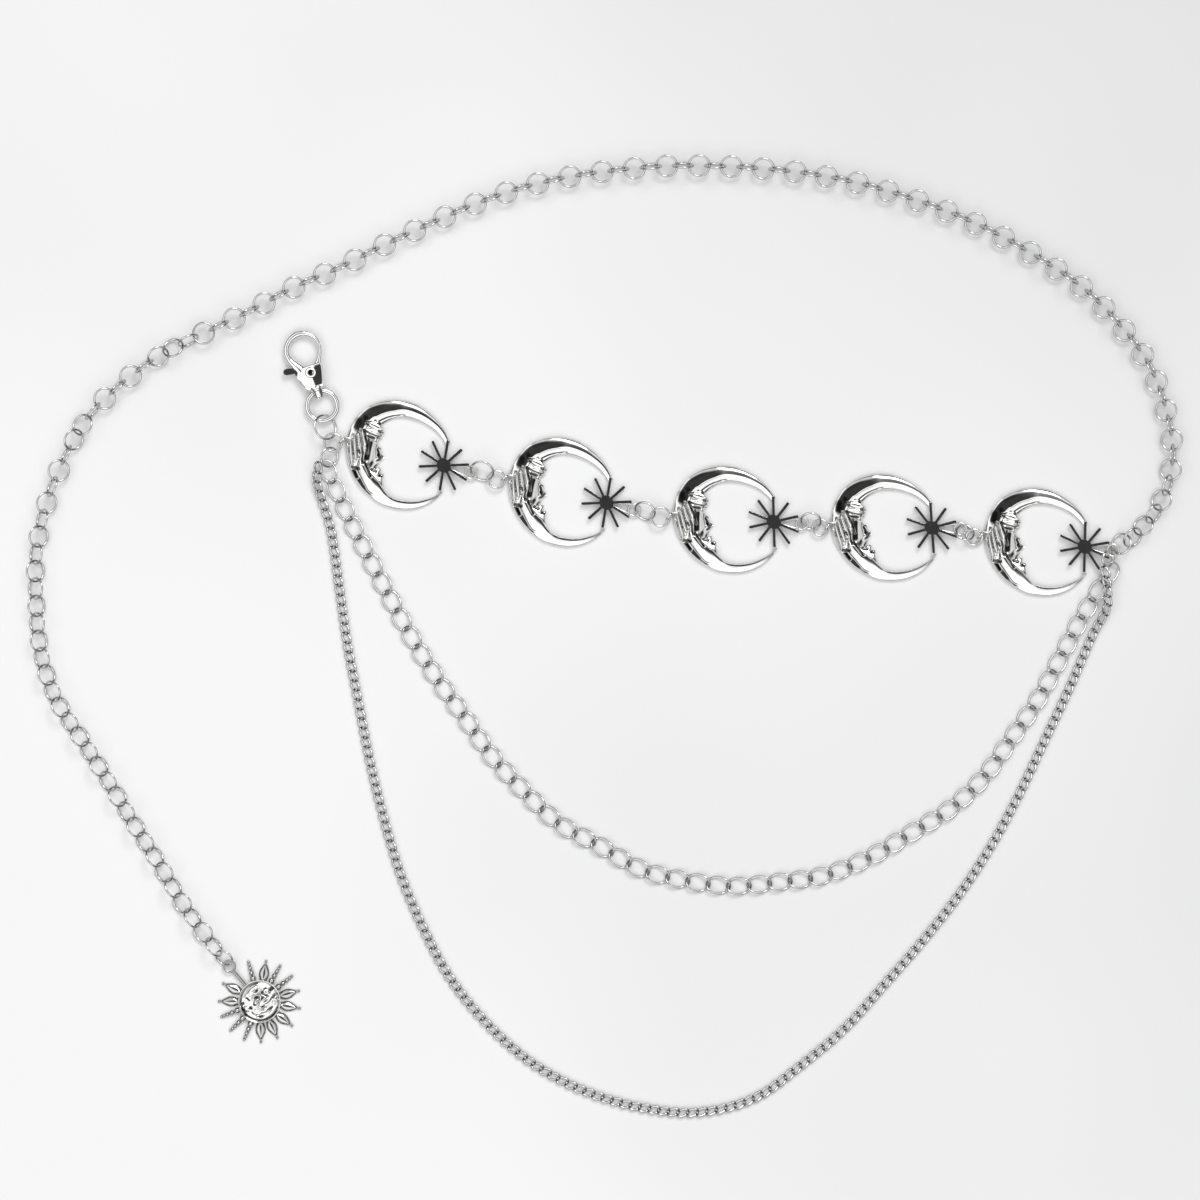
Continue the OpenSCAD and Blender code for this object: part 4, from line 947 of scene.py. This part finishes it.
def star_shape():
    """The star: a hub and straight rays with blunt ends, drawn out along the crescent's longer way."""
    axis = turned([1, 0], MOON_AXIS)
    across = turned([1, 0], MOON_AXIS + 90)

    def placed(points):
        flat = np.asarray(points, float)
        flat = ((flat @ axis)[:, None] * (1 + MOON_STRETCH) * axis
                + (flat @ across)[:, None] * (1 - MOON_STRETCH) * across)
        return flat + STAR_AT

    half = RAY_W / 2
    root = np.sqrt(HUB_R**2 - half**2)
    blunt = RAY_W * RAY_BLUNT
    ray = [[root, -half], [RAY_LEN - RAY_ROUND, -half], [RAY_LEN, -blunt], [RAY_LEN, blunt],
           [RAY_LEN - RAY_ROUND, half], [root, half]]
    outline = []
    for i in range(RAYS):
        bearing = STAR_TURN + 360 / RAYS * i
        outline += turned(ray, bearing).tolist()
        outline += [turned([HUB_R, 0], bearing + 360 / RAYS * share).tolist() for share in HUB_CORNERS]
    flat = placed(outline)
    count = len(flat)
    step = count // RAYS
    # The hub's edge runs over both root corners of each ray and the two points that follow them
    hub = [i * step + k for i in range(RAYS) for k in (0, 5, 6, 7)]
    middle = [2 * count, 2 * count + 1]
    faces = [[a + count, b + count, middle[1]] for a, b in zip(hub, hub[1:] + hub[:1])]
    faces += [[b, a, middle[0]] for a, b in zip(hub, hub[1:] + hub[:1])]
    for i in range(RAYS):
        corners = [i * step + k for k in range(len(ray))]
        faces += [[v + count for v in corners], corners[::-1]]
    faces += [[k, (k + 1) % count, (k + 1) % count + count, k + count] for k in range(count)]
    top = STAR_Z + STAR_T
    centres = [[*STAR_AT, STAR_Z], [*STAR_AT, top]]
    return np.vstack([at_height(flat, STAR_Z), at_height(flat, top), centres]), faces


def charm_wires():
    """The bail's two bars and its flat eye, and the upright loop on its stub at the crescent's back."""
    u = turned([1, 0], EYE_ANGLE)
    side = np.array([-u[1], u[0]])
    shapes = []
    for s in (-1, 1):
        start = STAR_AT + u * HUB_R / 2 + s * side * BAIL_ROOT
        end = EYE_AT - u * BAIL_BACK + s * side * BAIL_SIDE
        bar = at_height(np.linspace(start, end, 5), EYE_Z)
        shapes.append(flat_tube(bar, BAIL_T / 2, BAIL_T / 2, sides=10))
    shapes.append(shifted(ring(EYE_R, EYE_WIRE, around=40, sides=12), [*EYE_AT, EYE_Z]))
    upright = (spin(LOOP_HEADING, 2) @ spin(90, 0))[0]
    shapes.append(shifted(ring(LOOP_R, LOOP_WIRE, around=36, sides=12), [*LOOP_AT, LOOP_Z], upright))
    near = LOOP_AT + turned([LOOP_R, 0], LOOP_HEADING)
    stub = np.linspace(near, near * (1 - STUB_LEN / np.linalg.norm(near)), 4)
    shapes.append(flat_tube(at_height(stub, LOOP_Z - STUB_DROP), STUB_HALF, STUB_HALF, sides=10))
    return joined(*shapes)


def moon_charms():
    """Five castings of one pattern, each turned and placed."""
    relief, patina_and_shade = moon_relief()
    star = star_shape()
    wires = charm_wires()
    for k, (centre, turn) in enumerate(zip(CHARMS, CHARM_TURN)):
        place = [*centre, 0]
        rotation = spin(turn, 2)[0]
        name = f"charm_{k + 1}"
        piece(f"{name}_crescent", shifted(relief, place, rotation), CAST,
              replaces=[f"moon_charm_{k + 1}"], patina_and_shade=patina_and_shade, crease=50)
        rays = piece(f"{name}_star", shifted(star, place, rotation), CAST)
        bevelled(rays, STAR_BEVEL)
        piece(f"{name}_wires", shifted(wires, place, rotation), CAST)


def in_clasp(shape):
    """A shape from the clasp's own frame, put in its place."""
    return shifted(shape, [*CLASP_AT, CLASP_Z], spin(CLASP_HEADING, 2)[0])


def cheek(side):
    """One cheek of the clasp's body, mirrored for side -1: level right of its ridge, falling to the left."""
    rows = smoothed(CHEEK, 4)
    across = np.linspace(0, 1, 25)
    x = np.repeat(rows[:, :1], len(across), axis=1)
    y = rows[:, 1:2] + (rows[:, 3:4] - rows[:, 1:2]) * across
    slope = CHEEK_SLOPE * np.clip(y - rows[:, 2:3], 0, None)
    edge = np.minimum(y - rows[:, 1:2], rows[:, 3:4] - y)
    end = np.minimum(x - CHEEK[0][0], CHEEK[-1][0] - x)
    rim = np.clip(1 - np.minimum(edge, end + CHEEK_END) / CHEEK_ROUND, 0, 1)
    top = rows[:, 4:5] - slope - CHEEK_ROUND * (1 - np.sqrt(np.clip(1 - rim**2, 0, 1)))
    low = np.where(x < SLOT_BACK, 0, SLOT_W / 2)
    top = np.maximum(top, low + CHEEK_LEAST_T)
    upper = np.stack([x, y, side * top], -1)
    lower = np.stack([x, y, side * low], -1)
    columns = np.concatenate([upper, lower[:, ::-1]], axis=1)
    return columns.reshape(-1, 3), solid_faces(len(rows), columns.shape[1], flipped=side > 0)


def turned_part(rows, around, x):
    """A part of the clasp that is turned about its long axis, at x along it."""
    return shifted(lathe(rows, around), [x, 0, 0], spin(90, 1)[0])


def clasp_case():
    """The clasp's body: two cheeks, the hook's bar, and the post with its head and foot."""
    hook = smoothed(HOOK, 9)
    bar = flat_tube(at_height(hook[:, :2], 0), hook[:, 2], hook[:, 3], sides=16)
    body = joined(cheek(1), cheek(-1), bar, turned_part(POST, 24, POST_X), turned_part(POST_HEAD, 24, HEAD_X),
                  turned_part(POST_FOOT, 32, BODY_FOOT))
    piece("clasp_case", in_clasp(body), CLASP, "clasp", ["clasp_body"], crease=40)


def clasp_pin():
    """The rivet, with painted shade in its dimple and round its rim."""
    rivet = lathe(RIVET, 32, (RIVET_REACH, 0))
    from_axis = np.hypot(rivet[0][:, 0] - RIVET_REACH, rivet[0][:, 1])
    # Painted shade in the dimple and round the rim
    patina_and_shade = ((from_axis < RIVET_UNSHADED[0]) | (from_axis > RIVET_UNSHADED[1])) * RIVET_SHADE
    piece("clasp_pin", in_clasp(rivet), CLASP, "clasp", ["clasp_rivet"], patina_and_shade=patina_and_shade, crease=40)


def clasp_lever():
    """The lever: its bar from the hub to the mouth, and its thumb tab."""
    arm = smoothed(LEVER, 4)
    bar = flat_tube(at_height(arm[:, :2], 0), arm[:, 2], LEVER_T / 2, sides=14)
    count = len(TAB)
    slab = np.vstack([at_height(TAB, -LEVER_T / 2), at_height(TAB, LEVER_T / 2)])
    faces = [list(range(count)), [k + count for k in range(count)][::-1]]
    faces += [[k, k + count, (k + 1) % count + count, (k + 1) % count] for k in range(count)]
    lever = piece("clasp_thumb_lever", in_clasp(joined(bar, (slab, faces))), CLASP, "lever",
                  ["clasp_lever"], crease=40)
    bevelled(lever, LEVER_BEVEL)


def swivel_ring():
    """The ring that hangs on the chain, a little flattened, with the shoulder that the post turns in."""
    points, faces = ring(SWIVEL_R, SWIVEL_WIRE, around=72, sides=18)
    eye = (points * [1, 1, SWIVEL_FLAT], faces)
    shape = joined(eye, turned_part(SHOULDER, 32, SHOULDER_X))
    piece("swivel_ring", in_clasp(shape), CLASP, replaces=["swivel_eye"], crease=50)


def leaf(length):
    """A leaf along X from 0, LEAF_HALF · sin(π t^0.7) wide to either side, with a ridge down the middle."""
    t = np.linspace(0, 1, 13)[:, None]
    w = LEAF_HALF * np.sin(np.pi * np.clip(t, *LEAF_BLUNT) ** 0.7)
    s, ridge_share = np.transpose(LEAF_SECTION)[:, None]
    high = LEAF_EDGE_H + between(LEAF_RISE, t) * ridge_share
    top = np.stack([length * t + 0 * s, w * s, high + 0 * s], -1)
    low = np.stack([length * t + 0 * s, w * s, 0 * (s + t) + REST], -1)
    columns = np.concatenate([top, low[:, ::-1]], axis=1)
    return columns.reshape(-1, 3), solid_faces(len(t), columns.shape[1], flipped=True)


def bead(r):
    """A round bead on the surface, a little flattened underneath."""
    a = np.radians([-70, -45, -15, 15, 45, 75])
    return lathe([[r * np.cos(t), r + REST + r * np.sin(t)] for t in a], 14)


def sun_face():
    """The sun's disc with its rim, and a face in relief, with the recesses, and the patina and painted shade
    of each point.

    The dome is foot + rise (1 - (r / dome)²); the face's bumps and cuts are soft spots added and taken away.
    """
    rim = np.array(SUN_RIM_ROWS)
    r = np.concatenate([np.linspace(0.05, DOME_R, DOME_RINGS), rim[:, 0]])[:, None]
    a = np.radians(np.linspace(0, 360, 120, endpoint=False))[None]
    x = r * np.cos(a)
    y = r * np.sin(a)
    z = DOME_FOOT + (DOME_H - DOME_FOOT) * np.clip(1 - (r / DOME_R) ** 2, 0, 1) + 0 * x
    # Patina all round the groove, with painted shade strongest towards one bearing
    shaded = 0.5 + 0.5 * np.cos(a - np.radians(GROOVE_SHADE_BEARING))
    patina_shade = between(GROOVE_PATINA_AND_SHADE, shaded)
    half = between(GROOVE_HALF, shaded)
    patina_and_shade = patina_shade * np.exp(-((r - GROOVE_R) / half) ** 4)
    for centre, half_long, half_wide, turn, rise in SUN_BUMPS:
        z = z + rise * blob(x, y, centre, half_long, half_wide, turn)
    for centre, half_long, half_wide, turn, depth in SUN_CUTS:
        spot = blob(x, y, centre, half_long, half_wide, turn)
        z = z - depth * spot
        # Patina and painted shade in each recess of the face
        patina_and_shade = np.maximum(patina_and_shade, spot)
    z[DOME_RINGS:] = rim[:, 1:]
    points = np.stack([x, y, z], -1).reshape(-1, 3)
    return (points, solid_faces(len(r), a.shape[1], flipped=True)), patina_and_shade.reshape(-1)


def polar(reach, bearing, height=0):
    """A point at a distance and bearing from the sun's centre."""
    return [*turned([reach, 0], bearing), height]


def sun_stem(end, steps, height, half, sides, bearing):
    """A round bar from the sun's disc out to a distance from its centre, along a bearing."""
    line = at_height(np.linspace((SUN_ROOT, 0), (end, 0), steps), height)
    return shifted(flat_tube(line, half, half, sides), [0, 0, 0], spin(bearing, 2)[0])


def sun_ray(bearing, is_leaf):
    """The shapes of one ray: a leaf with a bead at its tip, or beads in a row on a thin stem."""
    if is_leaf:
        blade = leaf(SUN_REACH - SUN_ROOT - SUN_TIP_LEN)
        return [shifted(blade, polar(SUN_ROOT, bearing), spin(bearing, 2)[0]),
                shifted(bead(SUN_TIP_R), polar(SUN_REACH - SUN_TIP_R, bearing))]
    beads = [shifted(bead(r), polar(SUN_R + (SUN_REACH - SUN_R) * share, bearing))
             for share, r in SUN_BEADS]
    return [*beads, sun_stem(SUN_REACH - SUN_TIP_LEN, 4, 0.5, RAY_STEM_HALF, 8, bearing)]


def sun_pendant():
    """The sun: its face and rim, leaf rays and beaded rays, and the eye on its stem."""
    face, patina_and_shade = sun_face()
    place = [*SUN_AT, 0]
    piece("sun_face", shifted(face, place), CAST, replaces=["sun_pendant"], patina_and_shade=patina_and_shade, crease=60)
    shapes = [shape for bearing, is_leaf in SUN_RAYS for shape in sun_ray(bearing, is_leaf)]
    eye_end = SUN_EYE_REACH - SUN_EYE_R
    shapes.append(sun_stem(eye_end + 0.1, 5, 1.4, EYE_STEM_HALF, 12, SUN_EYE_BEARING))
    eye = ring(SUN_EYE_R, SUN_EYE_WIRE, around=40, sides=12)
    shapes.append(shifted(eye, polar(SUN_EYE_REACH, SUN_EYE_BEARING, SUN_EYE_Z)))
    rays = joined(*shapes)
    reach = np.hypot(rays[0][:, 0], rays[0][:, 1])
    # Painted shade at the rays' feet near the surface, patina on their tops, and darker tips
    foot = np.clip((RAY_SHADE_TOP_H - rays[0][:, 2]) / 0.5, 0, 1)
    low = between(RAY_PATINA_AND_SHADE, foot)
    tips = TIP_DARKNESS * np.clip((reach - SUN_REACH + 1) / 0.5, 0, 1) * (reach < eye_end)
    piece("sun_rays", shifted(rays, place), CAST, patina_and_shade=np.maximum(low, tips), crease=50)


make_camera()
make_studio()
make_floor()
long_chain()
curb_chain()
thin_chain()
jump_rings()
moon_charms()
clasp_case()
clasp_pin()
clasp_lever()
swivel_ring()
sun_pendant()
